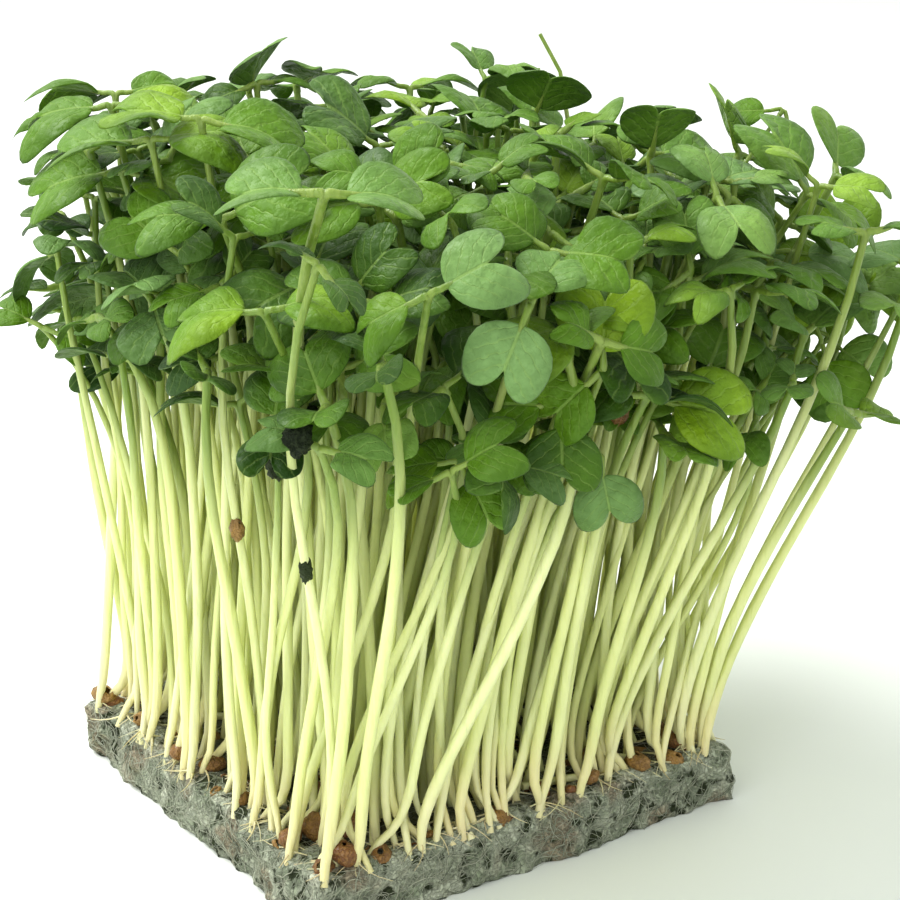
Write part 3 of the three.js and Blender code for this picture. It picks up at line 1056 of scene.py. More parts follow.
@dataclass(frozen=True)
class LeafFinish:
    """Matt green seed leaves, each of its own tone, some with a pale bloom and a painted sheen, and all with
    pale veins.
    """

    deep: tuple = opaque(0.012, 0.045, 0.001)
    fresh: tuple = opaque(0.09, 0.205, 0.005)
    bright: tuple = opaque(0.24, 0.4, 0.012)
    # A pale blue-green: partly the leaves' bloom, partly a painted sheen of the sky on their faces.
    bloom: tuple = opaque(0.19, 0.34, 0.11)
    under: tuple = opaque(0.1, 0.2, 0.02)
    vein: tuple = opaque(0.3, 0.45, 0.1)

    def make(self) -> bpy.types.Material:
        """The material."""
        finish = Finish(
            "leaf", Specular_IOR_Level=0.22, Sheen_Weight=0.04, Sheen_Roughness=0.4,
        )
        sketch = finish.sketch
        blade = sketch.add("ShaderNodeSeparateXYZ", {0: finish.attribute("blade", "Vector")})
        side = sketch.maths("ABSOLUTE", blade.outputs[0])
        along = blade.outputs[1]
        under = blade.outputs[2]
        tone = finish.attribute("tone")
        bloom = finish.attribute("bloom")
        broad = finish.effect("mottle", Scale=90.0, Detail=1.0, Low=0.3, High=0.7)
        pucker = finish.effect("mottle", Scale=380.0, Detail=1.0, Low=0.2, High=0.8)
        fine = finish.effect("mottle", Scale=900.0, Detail=3.0, Low=0.3, High=0.7)
        midrib = sketch.ramp(side, 0.012, 0.04, 1, 0)
        slant = sketch.maths("MULTIPLY_ADD", side, -0.8, along)
        bent = sketch.maths("MULTIPLY_ADD", fine, 0.05, slant)
        teeth = sketch.maths("PINGPONG", sketch.maths("MULTIPLY", bent, 5.0), 0.5)
        fading = sketch.ramp(side, 0.4, 0.62, 0.6, 0)
        branches = sketch.maths("MULTIPLY", sketch.ramp(teeth, 0.0, 0.13, 1, 0), fading)
        veins = sketch.maths("MAXIMUM", midrib, branches)
        shade = sketch.maths("MULTIPLY_ADD", broad, 0.3, sketch.maths("MULTIPLY", tone, 0.8), clamp=True)
        green = sketch.blend(sketch.ramp(shade, 0.0, 0.5), self.deep, self.fresh)
        green = sketch.blend(sketch.ramp(shade, 0.55, 1.0), green, self.bright)
        # Leaves with a high value turn pale blue-green: a pale bloom with a painted sheen.
        green = sketch.blend(bloom, green, self.bloom)
        green = sketch.blend(sketch.maths("MULTIPLY", under, 0.4), green, self.under)
        green = sketch.blend(sketch.maths("MULTIPLY", fine, 0.2), green, self.deep)
        green = sketch.blend(sketch.ramp(side, 0.25, 0.7, 0.0, 0.35), green, self.deep)
        finish.colour(sketch.blend(sketch.maths("MULTIPLY", veins, 0.32), green, self.vein))
        finish.roughness(sketch.ramp(fine, 0.0, 1.0, 0.42, 0.62))
        relief = sketch.maths("MULTIPLY_ADD", veins, -0.7, sketch.maths("MULTIPLY_ADD", pucker, 1.3, fine))
        finish.bump(relief, 0.00014)
        return finish.material


@dataclass(frozen=True)
class StemFinish:
    """Pale juicy stems: cream and a little pink at the root, lime further up, and dark green near the leaves,
    which is their own green darkened with painted shade. Stems deep in the block are darker with painted
    shade.
    """

    root: tuple = opaque(0.55, 0.4, 0.22)
    foot: tuple = opaque(0.8, 0.72, 0.38)
    middle: tuple = opaque(0.78, 0.83, 0.36)
    # A darker green: painted shade on stems that stand deep in the block, and also the colour that the
    # streaks darken towards.
    inner: tuple = opaque(0.52, 0.6, 0.16)
    # A dark green: the stems' own green near the leaves, darkened further with painted shade under the
    # canopy. The leaf stalks take it too.
    top: tuple = opaque(0.12, 0.22, 0.012)
    white: tuple = opaque(0.88, 0.9, 0.58)

    def make(self) -> bpy.types.Material:
        """The material."""
        finish = Finish(
            "stem", Subsurface_Weight=0.15, Subsurface_Radius=(1.0, 0.9, 0.35), Subsurface_Scale=0.0018,
            Specular_IOR_Level=0.5, Sheen_Weight=0.05,
        )
        sketch = finish.sketch
        rise = finish.attribute("rise")
        tone = finish.attribute("tone")
        streaks = finish.effect("streaks", Across=1400.0, Along=90.0)
        broad = finish.effect("mottle", Scale=60.0, Detail=1.0, Low=0.3, High=0.7)
        colour = sketch.blend(sketch.ramp(rise, -0.06, 0.05), self.root, self.foot)
        colour = sketch.blend(sketch.ramp(rise, 0.03, 0.22), colour, self.middle)
        # Stems deep in the block blend towards the inner colour: painted shade.
        colour = sketch.blend(finish.attribute("inside"), colour, self.inner)
        pale = sketch.maths("MULTIPLY", tone, sketch.ramp(rise, 0.5, 0.9, 0.6, 0.0))
        colour = sketch.blend(pale, colour, self.white)
        # Near the leaves the stems turn dark green: their own green with painted shade under the canopy.
        colour = sketch.blend(sketch.ramp(rise, 0.5, 0.95), colour, self.top)
        shade = sketch.maths("MULTIPLY", sketch.maths("ADD", streaks, broad), 0.14)
        finish.colour(sketch.blend(shade, colour, self.inner))
        finish.roughness(sketch.ramp(streaks, 0.0, 1.0, 0.36, 0.52))
        finish.bump(streaks, 0.00008)
        return finish.material


@dataclass(frozen=True)
class FeltFinish:
    """Pressed grey-green fibre with pits darkened by painted shade, brown stains, and a dark colour between
    the stems that is partly dirt and partly painted shade.
    """

    pale: tuple = opaque(0.5, 0.53, 0.41)
    grey: tuple = opaque(0.23, 0.27, 0.18)
    # Nearly black: painted shade in the felt's hollows.
    pit_shade: tuple = opaque(0.035, 0.045, 0.02)
    stain: tuple = opaque(0.2, 0.11, 0.05)
    # The felt between the stems: partly dirt, partly painted shade under the stand.
    dirt_and_shade: tuple = opaque(0.055, 0.05, 0.02)

    def make(self) -> bpy.types.Material:
        """The material."""
        finish = Finish("felt", Roughness=0.95, Specular_IOR_Level=0.2)
        sketch = finish.sketch
        coarse = finish.effect("mottle", Scale=260.0, Detail=5.0, Low=0.36, High=0.62)
        fine = finish.effect("mottle", Scale=1500.0, Detail=4.0, Low=0.38, High=0.62)
        pits = finish.effect("mottle", Scale=430.0, Detail=3.0, Low=0.54, High=0.64)
        stains = finish.effect("mottle", Scale=130.0, Detail=2.0, Low=0.52, High=0.66)
        colour = sketch.blend(coarse, self.grey, self.pale)
        colour = sketch.blend(sketch.maths("MULTIPLY", fine, 0.4), colour, self.pale)
        colour = sketch.blend(sketch.maths("MULTIPLY", stains, 0.6), colour, self.stain)
        # Pits turn nearly black: painted shade in the hollows.
        colour = sketch.blend(pits, colour, self.pit_shade)
        # Away from the rim the felt turns dark in patches: dirt with painted shade under the stems.
        patchy = sketch.ramp(coarse, 0.0, 1.0, 0.95, 0.65)
        dirt_and_shade_mask = sketch.maths("MULTIPLY", finish.attribute("inner"), patchy)
        finish.colour(sketch.blend(dirt_and_shade_mask, colour, self.dirt_and_shade))
        relief = sketch.maths("MULTIPLY_ADD", pits, -0.8, sketch.maths("ADD", fine, coarse))
        finish.bump(relief, 0.0006)
        return finish.material


@dataclass(frozen=True)
class FibreFinish:
    """Single felt fibres, from cream to grey-green."""

    cream: tuple = opaque(0.42, 0.43, 0.33)
    grey: tuple = opaque(0.27, 0.3, 0.22)
    dark: tuple = opaque(0.09, 0.1, 0.07)

    def make(self) -> bpy.types.Material:
        """The material."""
        finish = Finish("fibre", Roughness=0.7, Specular_IOR_Level=0.3)
        sketch = finish.sketch
        tone = finish.attribute("tone")
        dirt_and_shade = finish.effect("mottle", Scale=500.0, Detail=2.0, Low=0.4, High=0.7)
        colour = sketch.blend(sketch.ramp(tone, 0.0, 0.35), self.dark, self.grey)
        colour = sketch.blend(sketch.ramp(tone, 0.4, 0.8), colour, self.cream)
        finish.colour(sketch.blend(sketch.maths("MULTIPLY", dirt_and_shade, 0.35), colour, self.grey))
        return finish.material


@dataclass(frozen=True)
class HuskFinish:
    """Brown seed coats: golden to red-brown, wrinkled, darker in the creases."""

    name: str = "husk"
    gold: tuple = opaque(0.36, 0.2, 0.045)
    red: tuple = opaque(0.16, 0.045, 0.012)
    dark: tuple = opaque(0.03, 0.012, 0.006)
    shine: float = 0.5

    def make(self) -> bpy.types.Material:
        """The material."""
        finish = Finish(self.name, Specular_IOR_Level=self.shine)
        sketch = finish.sketch
        tone = finish.attribute("tone")
        broad = finish.effect("mottle", Scale=450.0, Detail=2.0, Low=0.3, High=0.7)
        net = finish.effect("mottle", Scale=2600.0, Detail=3.0, Low=0.4, High=0.6)
        colour = sketch.blend(tone, self.red, self.gold)
        colour = sketch.blend(sketch.maths("MULTIPLY", broad, 0.45), colour, self.dark)
        finish.colour(sketch.blend(sketch.maths("MULTIPLY", net, 0.3), colour, self.gold))
        finish.roughness(sketch.ramp(broad, 0.0, 1.0, 0.38, 0.6))
        finish.bump(net, 0.00015)
        return finish.material


ROTTEN = (opaque(0.035, 0.05, 0.018), opaque(0.006, 0.012, 0.004), opaque(0.002, 0.004, 0.002))


@dataclass(frozen=True)
class FloorFinish:
    """Plain pale paper."""

    pale: tuple = opaque(0.83, 0.86, 0.81)

    def make(self) -> bpy.types.Material:
        """The material."""
        finish = Finish("floor", Roughness=0.9, Specular_IOR_Level=0.1)
        finish.shader.inputs["Base Color"].default_value = self.pale
        return finish.material


@dataclass(frozen=True)
class PinnedLeaf:
    """A leaf as it looks in the photograph.

    Its heading is an angle in the picture, from the right. Its tilt leads it towards the camera, and its
    face turns from the camera to the sky by its sky share.
    """

    heading: float
    tilt: float
    sky: float
    length: float
    tone: float
    bloom: float = 0.0

    def leaf(self, joint: np.ndarray) -> Leaf:
        """The leaf, set on a joint."""
        turn = math.radians(self.heading)
        lean = math.radians(self.tilt)
        right, up, back = PICTURE
        flat = right * math.cos(turn) + up * math.sin(turn)
        along = flat * math.cos(lean) + back * math.sin(lean)
        face = mix(back, np.array([0.0, 0.0, 1.0]), self.sky)
        face = unit(face - along * along.dot(face))
        return Leaf(joint, along, face, 0.0, self.length)


@dataclass(frozen=True)
class PinnedSprout:
    """A sprout that stands out in the photograph: its foot on the felt, its leaf joint and its leaves."""

    foot: tuple[float, float]
    joint: tuple[float, float, float]
    lean: tuple[float, float, float]
    leaves: tuple[PinnedLeaf, ...]
    radius: float = 0.6
    stiffness: float = 0.36

    def up(self) -> np.ndarray:
        """The stem's direction at its joint."""
        return unit(np.array(self.lean))

    def path(self) -> list[np.ndarray]:
        """The control points of the stem's middle line."""
        base = np.array([*self.foot, MAT.height(*self.foot)])
        joint = np.array(self.joint)
        reach = (joint[2] - base[2]) * self.stiffness
        return [base, base + np.array([0, 0, reach]), joint - self.up() * reach, joint]


PINNED = (
    # Low and near the camera: the hanging leaf, the dark one and the pale blue-green one.
    PinnedSprout((-3, -26), (-1.6, -42, 56.5), (0.1, -0.5, 0.6), (
        PinnedLeaf(-78, 5, 0.0, 5.6, 0.35, 0.6),
        PinnedLeaf(150, 0, 0.6, 5.5, 0.3),
    )),
    PinnedSprout((-9, -26.5), (-6.9, -42, 63), (0.0, -0.4, 0.8), (
        PinnedLeaf(-88, 8, 0.0, 7, 0.12),
        PinnedLeaf(175, 0, 0.3, 6.5, 0.3),
    )),
    PinnedSprout((-12, -26), (-13.3, -45, 76), (-0.1, -0.5, 0.8), (
        PinnedLeaf(-112, 10, 0.1, 7.2, 0.5, 0.9),
        PinnedLeaf(60, -20, 0.6, 6.4, 0.5, 0.5),
    )),
    PinnedSprout((-15, -25), (-18, -39, 58), (-0.1, -0.4, 0.8), (
        PinnedLeaf(-60, 10, 0.5, 6.2, 0.45),
        PinnedLeaf(180, 0, 0.7, 5.6, 0.6),
    ), 0.46),
    # The bright pairs beside them.
    PinnedSprout((-6, -27), (-3.7, -45, 67.2), (0.0, -0.4, 0.8), (
        PinnedLeaf(88, 12, 0.1, 7.6, 0.85),
        PinnedLeaf(-140, 0, 0.3, 6.2, 0.55),
    )),
    PinnedSprout((5, -27), (7.8, -40, 60.5), (0.1, -0.4, 0.8), (
        PinnedLeaf(-8, 10, 0.35, 8.4, 0.95),
        PinnedLeaf(165, 5, 0.4, 7, 0.7),
    )),
    PinnedSprout((12, -26), (13.9, -38, 73.7), (0.1, -0.3, 0.9), (
        PinnedLeaf(95, 5, 0.1, 6.6, 0.6, 0.2),
        PinnedLeaf(-150, 0, 0.4, 6, 0.35),
    )),
    # The veined silvery leaf, the yellow one on the left and the thick stalk above it.
    PinnedSprout((-19, -26), (-25.1, -44, 78.4), (-0.2, -0.5, 0.8), (
        PinnedLeaf(32, 15, 0.3, 6.8, 0.6, 0.8),
        PinnedLeaf(200, 0, 0.7, 6, 0.5),
    )),
    PinnedSprout((-24, -23), (-36, -30.4, 75.2), (-0.5, -0.2, 0.8), (
        PinnedLeaf(173, 0, 0.75, 7.4, 0.78),
        PinnedLeaf(20, 10, 0.8, 6.5, 0.7),
    )),
    PinnedSprout((-24, -21), (-34.7, -40.2, 89.2), (-0.1, -0.6, 0.75), (
        PinnedLeaf(5, 0, 0.8, 7.5, 0.6, 0.35),
        PinnedLeaf(170, 0, 0.8, 8, 0.55, 0.3),
    ), 0.75),
    # The stacked domed leaves at the top left.
    PinnedSprout((-26, -4), (-34, -2.5, 88), (-0.2, 0.0, 1.0), (
        PinnedLeaf(176, 0, 0.85, 9, 0.6, 0.15),
        PinnedLeaf(12, 10, 0.8, 8.6, 0.7),
    )),
    PinnedSprout((-26, 4), (-34.5, 4, 83.6), (-0.3, 0.0, 1.0), (
        PinnedLeaf(186, 8, 0.7, 8.8, 0.45),
        PinnedLeaf(-10, 20, 0.7, 8, 0.6),
    )),
    PinnedSprout((-25, -8), (-30, -6.8, 90.5), (-0.1, 0.1, 1.0), (
        PinnedLeaf(165, 0, 0.9, 8.4, 0.65),
        PinnedLeaf(-5, 5, 0.85, 8.8, 0.5),
    )),
    PinnedSprout((-26, 12), (-32, 11.1, 89.5), (-0.2, 0.1, 1.0), (
        PinnedLeaf(180, 0, 0.8, 8.4, 0.5),
        PinnedLeaf(8, 0, 0.85, 8.8, 0.75),
    )),
    # The far left, thin and small.
    PinnedSprout((-28, 20), (-38, 20, 62), (-0.6, 0.1, 0.7), (
        PinnedLeaf(150, 0, 0.6, 4.8, 0.4),
        PinnedLeaf(-20, 20, 0.6, 4.4, 0.55),
    ), 0.5),
    # The right edge: the bright leaf, the pale sheen, the lone curled sprout and the drooping one.
    PinnedSprout((26, -17), (48, -25, 67), (0.8, -0.1, 0.6), (
        PinnedLeaf(82, 0, 0.15, 7.6, 0.9),
        PinnedLeaf(-60, 15, 0.5, 6, 0.8),
    ), 0.46, 0.6),
    PinnedSprout((24, -22), (38.1, -28, 70.4), (0.5, -0.1, 0.8), (
        PinnedLeaf(170, 15, 0.85, 7.2, 0.5, 0.7),
        PinnedLeaf(0, 10, 0.85, 7.2, 0.55, 0.7),
    ), 0.5, 0.6),
    PinnedSprout((27, -21), (44.5, -27, 67), (0.7, -0.1, 0.7), (
        PinnedLeaf(150, 10, 0.8, 6.8, 0.5, 0.6),
        PinnedLeaf(-20, 10, 0.7, 6.4, 0.6, 0.4),
    ), 0.46, 0.6),
    PinnedSprout((26.5, -24), (45.5, -31, 66.5), (0.7, -0.2, 0.7), (
        PinnedLeaf(160, 5, 0.6, 7.2, 0.85),
        PinnedLeaf(-12, 0, 0.5, 6.8, 0.75),
    ), 0.46, 0.6),
    PinnedSprout((27.5, -24.5), (44, -29, 59), (0.8, -0.1, 0.6), (
        PinnedLeaf(140, 5, 0.5, 6.6, 0.6),
        PinnedLeaf(-35, 10, 0.5, 6.4, 0.7, 0.3),
    ), 0.42, 0.6),
    PinnedSprout((25, -26), (39, -33, 60), (0.6, -0.2, 0.8), (
        PinnedLeaf(100, 5, 0.3, 7, 0.7),
        PinnedLeaf(-70, 10, 0.3, 6.4, 0.5),
    ), 0.46, 0.6),
    PinnedSprout((23, -19), (41, -21, 64), (0.5, -0.1, 0.8), (
        PinnedLeaf(110, 5, 0.5, 7, 0.8),
        PinnedLeaf(-40, 10, 0.6, 7, 0.65),
    ), 0.46, 0.6),
    PinnedSprout((22, -22), (40, -27, 56), (0.5, -0.1, 0.8), (
        PinnedLeaf(175, 5, 0.6, 6.6, 0.7),
        PinnedLeaf(-10, 5, 0.6, 6.6, 0.85),
    ), 0.46, 0.6),
    PinnedSprout((24, -15), (45, -17, 74), (0.5, -0.1, 0.8), (
        PinnedLeaf(150, 5, 0.6, 6.8, 0.75),
        PinnedLeaf(-20, 10, 0.6, 6.4, 0.9),
    ), 0.46, 0.6),
    PinnedSprout((26, -10), (46.7, -16, 85), (0.6, 0.0, 0.6), (
        PinnedLeaf(178, 0, 0.6, 4.6, 0.35),
        PinnedLeaf(-65, 0, 0.8, 3.8, 0.3),
    ), 0.42, 0.6),
    PinnedSprout((27, -26.5), (37.6, -32, 54.4), (0.85, -0.3, 0.3), (
        PinnedLeaf(-22, 0, 0.8, 4.6, 0.35, 0.7),
        PinnedLeaf(25, 0, 0.9, 3.6, 0.3, 0.5),
    ), 0.4, 0.55),
    # A withered tip that has lost its leaves.
    PinnedSprout((28, 20), (35.7, 20, 91), (-0.45, 0.58, 0.66), (), 0.4, 0.2),
)


class LineWork:
    """Lines with a thickness, and points that leaves are put on, gathered for one piece."""

    def __init__(self) -> None:
        """Starts with nothing."""
        self.points: list[np.ndarray] = []
        self.edges: list[tuple[int, int]] = []
        names = ("radius", "rise", "tone", "thin", "inside", "leaf", "bloom", "form", "size", "turn")
        self.values: dict[str, list] = {name: [] for name in names}

    def extend(self, count: int, **given: object) -> None:
        """Stores values for new points; what isn't given is nought."""
        for name, rows in self.values.items():
            value = given.get(name, (0.0, 0.0, 0.0) if name == "turn" else 0.0)
            rows.extend(value if isinstance(value, (list, np.ndarray)) else [value] * count)

    def line(
        self, points: np.ndarray, radii: np.ndarray, rise: np.ndarray, tone: float,
        thin: bool = False, inside: float = 0.0,
    ) -> None:
        """Adds one line.

        Args:
            points: Where it runs, in millimetres.
            radii: Its thickness at each point, as a radius.
            rise: How far up the sprout each point counts as being, from 0 to 1.
            tone: The line's own tone.
            thin: True for a line that needs only a few sides.
            inside: How much painted shade it takes for standing deep in the block, from 0 at the edge.
        """
        first = sum(len(rows) for rows in self.points)
        self.points.append(np.asarray(points))
        self.edges += [(first + n, first + n + 1) for n in range(len(points) - 1)]
        radii = list(np.asarray(radii) * MM)
        self.extend(len(points), radius=radii, rise=list(rise), tone=tone, thin=float(thin), inside=inside)

    def blade(self, leaf: Leaf, form: int, tone: float, bloom: float) -> None:
        """Adds a point that a leaf's blade is put on."""
        self.points.append(leaf.point(0, 0)[None, :])
        turn = tuple(leaf.turned().to_euler())
        self.extend(1, tone=tone, leaf=1.0, bloom=bloom, form=float(form), size=leaf.length * MM, turn=[turn])

    def piece(self, name: str) -> bpy.types.Object:
        """The gathered lines and points as one object."""
        piece = mesh_piece(name, np.concatenate(self.points), [], self.edges)
        for label, rows in self.values.items():
            give_values(piece.data, label, np.array(rows))
        return piece


@dataclass
class Sprouts:
    """The dressed bunches: round stems with bent feet, leaf stalks, blades and root hairs."""

    steps: int = 17
    sides: int = 8
    thin_sides: int = 4
    radius: tuple[float, float] = (0.5, 0.76)
    tip_share: float = 0.66
    foot_height: float = 9
    hook_height: float = 3.2
    foot_share: float = 0.6
    hook_share: float = 0.5
    foot_reach: tuple[float, float] = (0.6, 4.8)
    foot_turn: float = 1.5
    rim_room: float = 0.9
    sunk: float = 1.2
    foot_thinning: float = 0.3
    crowding: float = 2.5
    wobble: float = 0.5
    wobble_waves: tuple[float, float] = (9, 7)
    ripple: float = 0.04
    ripple_waves: float = 23
    edge_band: float = 0.55
    # Painted shade on stems deep in the block: at most this share of the inner colour, from this far in from
    # the edge, reached over this span.
    painted_shade: float = 0.75
    painted_shade_from: float = 0.85
    painted_shade_over: float = 0.35
    tone_spread: float = 0.68
    # Leaves lower in the canopy take a little darker tone: painted shade.
    shade_by_height: float = 0.04
    tone_side: float = 0.34
    tone_jitter: float = 0.15
    # Pale bloom with painted sheen: strong on a few leaves at random, and a painted sheen that grows towards
    # +X.
    bloom_and_sheen_peak: float = 0.6
    painted_sheen_side: float = 0.4
    painted_sheen_from: float = 0.05
    blade_share: float = 0.93
    low_canopy: float = 50
    high_canopy: float = 92
    stalk_steps: int = 6
    stalk_corners: tuple[float, float, float] = (0.5, 1.3, 1.2)
    stalk_rise: tuple[float, float] = (0.95, 1.2)
    stalk_radii: tuple[float, ...] = (0.58, 0.56, 0.53, 0.5, 0.47, 0.43, 0.32, 0.2, 0.06)
    rib: tuple[float, ...] = (0.14, 0.28, 0.42)
    rib_depth: float = 0.1
    fallen: tuple = (((-21, 15.5), (-18, 11.5)), ((1.5, -24.5), (8.4, -26.5)), ((14.3, -23.5), (18.5, -28)))
    fallen_radius: float = 0.5
    fallen_bend: float = 0.8
    fallen_steps: int = 7
    fallen_rise: float = 0.1
    fallen_tone: float = 0.6
    roots: int = 3
    root_steps: int = 5
    root_length: tuple[float, float] = (1.6, 4.5)
    root_bend: float = 1.8
    root_lift: float = 0.5
    root_taper: float = 0.75
    root_rise: float = -0.1
    root_radius: tuple[float, float] = (0.08, 0.18)
    seed: int = 3307
    stems: list[np.ndarray] = field(default_factory=list)

    def rig(self) -> Rig:
        """The tree that turns lines into tubes and puts a blade on each leaf point."""
        kinds = {"Sides": "Int", "Thin Sides": "Int", "Forms": "Collection"}
        rig = Rig("sprouts", {**kinds, "Stem": "Material", "Leaf": "Material"})
        add = rig.sketch.add
        feeds = {"Geometry": rig.inputs["Geometry"], "Selection": rig.attribute("leaf")}
        parted = add("GeometryNodeSeparateGeometry", feeds)
        feeds = {"Geometry": parted.outputs["Inverted"], "Selection": rig.attribute("thin")}
        lines = add("GeometryNodeSeparateGeometry", feeds)
        tubes = rig.tubes(lines.outputs["Inverted"], rig.inputs["Sides"], rig.inputs["Stem"])
        threads = rig.tubes(lines.outputs["Selection"], rig.inputs["Thin Sides"], rig.inputs["Stem"])
        turn = add("FunctionNodeEulerToRotation", {"Euler": rig.attribute("turn", "FLOAT_VECTOR")})
        more = {"Instance Index": rig.attribute("form"), "Scale": rig.attribute("size")}
        blades = rig.lay(parted.outputs["Selection"], turn.outputs[0], more)
        dressed = add("GeometryNodeSetMaterial", {"Geometry": blades, "Material": rig.inputs["Leaf"]})
        joined = add("GeometryNodeJoinGeometry")
        rig.sketch.feed(joined.inputs[0], tubes)
        rig.sketch.feed(joined.inputs[0], threads)
        rig.sketch.feed(joined.inputs[0], dressed.outputs[0])
        return rig.end(joined.outputs[0])

    def draw_stem(
        self, path: list[np.ndarray], radius: float, tone: float, work: LineWork, chance: Chance
    ) -> None:
        """Adds a stem with a bent foot and a few roots.

        Args:
            path: The four control points of its middle line.
            radius: Its thickness above the foot, as a radius.
            tone: Its own tone.
            work: Where its lines go.
            chance: Where its small differences come from.
        """
        shares = np.linspace(0, 1, self.steps)
        shares = (shares + self.crowding * shares**2) / (1 + self.crowding)
        points = bezier(path, shares)
        heights = points[:, 2] - points[0, 2]
        foot = np.clip(1 - heights / self.foot_height, 0, 1) ** 2
        hook = np.clip(1 - heights / self.hook_height, 0, 1) ** 1.5
        heading, reach = self.foot_bend(points[0], chance)
        shift = reach * (self.foot_share * foot + self.hook_share * hook)
        points[:, 0] += shift * math.cos(heading)
        points[:, 1] += shift * math.sin(heading)
        swing = np.sin(math.pi * shares) * chance.between(0, self.wobble)
        phase = chance.turn()
        points[:, 0] += swing * np.sin(self.wobble_waves[0] * shares + phase)
        points[:, 1] += swing * np.cos(self.wobble_waves[1] * shares + phase)
        points[0, 2] -= self.sunk
        radii = radius * (1 - (1 - self.tip_share) * shares**2) * (1 - self.foot_thinning * foot)
        radii *= 1 + self.ripple * np.sin(self.ripple_waves * shares + phase)
        edge = max(abs(2 * path[0][0] / MAT.length), abs(2 * path[0][1] / MAT.width))
        self.stems.append(points)
        # Painted shade for stems that stand deep in the block.
        depth = min(1.0, max(0.0, (self.painted_shade_from - edge) / self.painted_shade_over))
        work.line(points, radii, shares, tone, inside=self.painted_shade * depth)
        for _ in range(self.roots):
            self.draw_root(points[1], work, chance)

    def draw(self, sprout: Sprout, work: LineWork, forms: int, chance: Chance) -> None:
        """Adds one sprout to the line work.

        Args:
            sprout: The sprout.
            work: Where its lines go.
            forms: How many leaf forms there are.
            chance: Where its small differences come from.
        """
        radius = chance.between(*self.radius)
        tone = chance.share() ** 2
        self.draw_stem(sprout.path, radius, tone, work, chance)
        high = (sprout.tip[2] - self.low_canopy) / (self.high_canopy - self.low_canopy)
        aside = sprout.tip[0] / MAT.length
        # Lower leaves take a darker tone as painted shade; leaves are also paler towards +X.
        leaf_tone = self.tone_spread * chance.share() + self.shade_by_height * high + self.tone_side * aside
        # Pale bloom and painted sheen, with more painted sheen towards +X.
        bloom = self.bloom_and_sheen_peak * chance.share() ** 4 + max(0, self.painted_sheen_side * aside - self.painted_sheen_from)
        for leaf in sprout.leaves:
            self.draw_leaf(leaf, sprout.up, work, radius / self.radius[1], tone)
            own_tone = min(1, max(0, leaf_tone + chance.between(-self.tone_jitter, self.tone_jitter)))
            leaf.length *= self.blade_share
            work.blade(leaf, chance.whole(forms), own_tone, bloom)

    def draw_pinned(self, pinned: PinnedSprout, work: LineWork, forms: int, chance: Chance) -> None:
        """Adds one of the sprouts that stand out."""
        tone = chance.share() ** 2
        self.draw_stem(pinned.path(), pinned.radius, tone, work, chance)
        for wanted in pinned.leaves:
            leaf = wanted.leaf(np.array(pinned.joint))
            self.draw_leaf(leaf, pinned.up(), work, pinned.radius / self.radius[1], tone)
            work.blade(leaf, chance.whole(forms), wanted.tone, wanted.bloom)

    def draw_fallen(self, start: tuple[float, float], end: tuple[float, float], work: LineWork) -> None:
        """Adds a short piece of stem that lies on the felt."""
        shares = np.linspace(0, 1, self.fallen_steps)
        points = np.zeros((len(shares), 3))
        points[:, :2] = mix(np.array(start), np.array(end), shares[:, None])
        points[:, 0] += self.fallen_bend * np.sin(math.pi * shares)
        for point in points:
            point[2] = MAT.height(point[0], point[1]) + self.fallen_radius
        radii = np.full(len(shares), self.fallen_radius)
        work.line(points, radii, np.full(len(shares), self.fallen_rise), self.fallen_tone)

    def foot_bend(self, base: np.ndarray, chance: Chance) -> tuple[float, float]:
        """Which way and how far a stem's foot bends: outwards near the mat's edge, and never over it."""
        away_x = 2 * base[0] / MAT.length
        away_y = 2 * base[1] / MAT.width
        heading = chance.turn()
        reach = chance.between(*self.foot_reach)
        if max(abs(away_x), abs(away_y)) > self.edge_band:
            heading = math.atan2(away_y**3, away_x**3) + chance.between(-self.foot_turn, self.foot_turn)
        ways = ((math.cos(heading), base[0], MAT.length), (math.sin(heading), base[1], MAT.width))
        for way, place, side in ways:
            room = side / 2 - self.rim_room - place * math.copysign(1, way)
            reach = min(reach, room / max(abs(way), 0.01))
        return heading, max(0.0, reach)

    def draw_leaf(self, leaf: Leaf, up: np.ndarray, work: LineWork, share: float, tone: float) -> None:
        """Adds a leaf's stalk, which runs on under the blade as its midrib."""
        base = leaf.point(0, 0)
        below, above, before = self.stalk_corners
        corners = [leaf.joint - up * below, leaf.joint + up * above, base - leaf.along * before, base]
        stalk = bezier(corners, np.linspace(0, 1, self.stalk_steps))
        rib = [leaf.point(0, t) - leaf.face * self.rib_depth for t in self.rib]
        points = np.concatenate([stalk, rib])
        rise = np.linspace(*self.stalk_rise, len(points))
        work.line(points, np.array(self.stalk_radii) * share, rise, tone)

    def draw_root(self, start: np.ndarray, work: LineWork, chance: Chance) -> None:
        """Adds one root that creeps over the felt from a stem's foot."""
        heading = chance.turn()
        length = chance.between(*self.root_length)
        bend = chance.between(-self.root_bend, self.root_bend)
        way = np.array([math.cos(heading), math.sin(heading)])
        aside = np.array([-way[1], way[0]])
        shares = np.linspace(0, 1, self.root_steps)
        spread = start[:2] + way * (shares * length)[:, None]
        spread = spread + aside * (bend * shares**2 * length / 2)[:, None]
        points = np.zeros((len(shares), 3))
        points[:, :2] = spread
        for n, (x, y) in enumerate(spread):
            points[n, 2] = MAT.height(x, y) + self.root_lift * (1 - 2 * shares[n])
        radii = chance.between(*self.root_radius) * (1 - self.root_taper * shares)
        work.line(points, radii, self.root_rise * shares, chance.share(), thin=True)

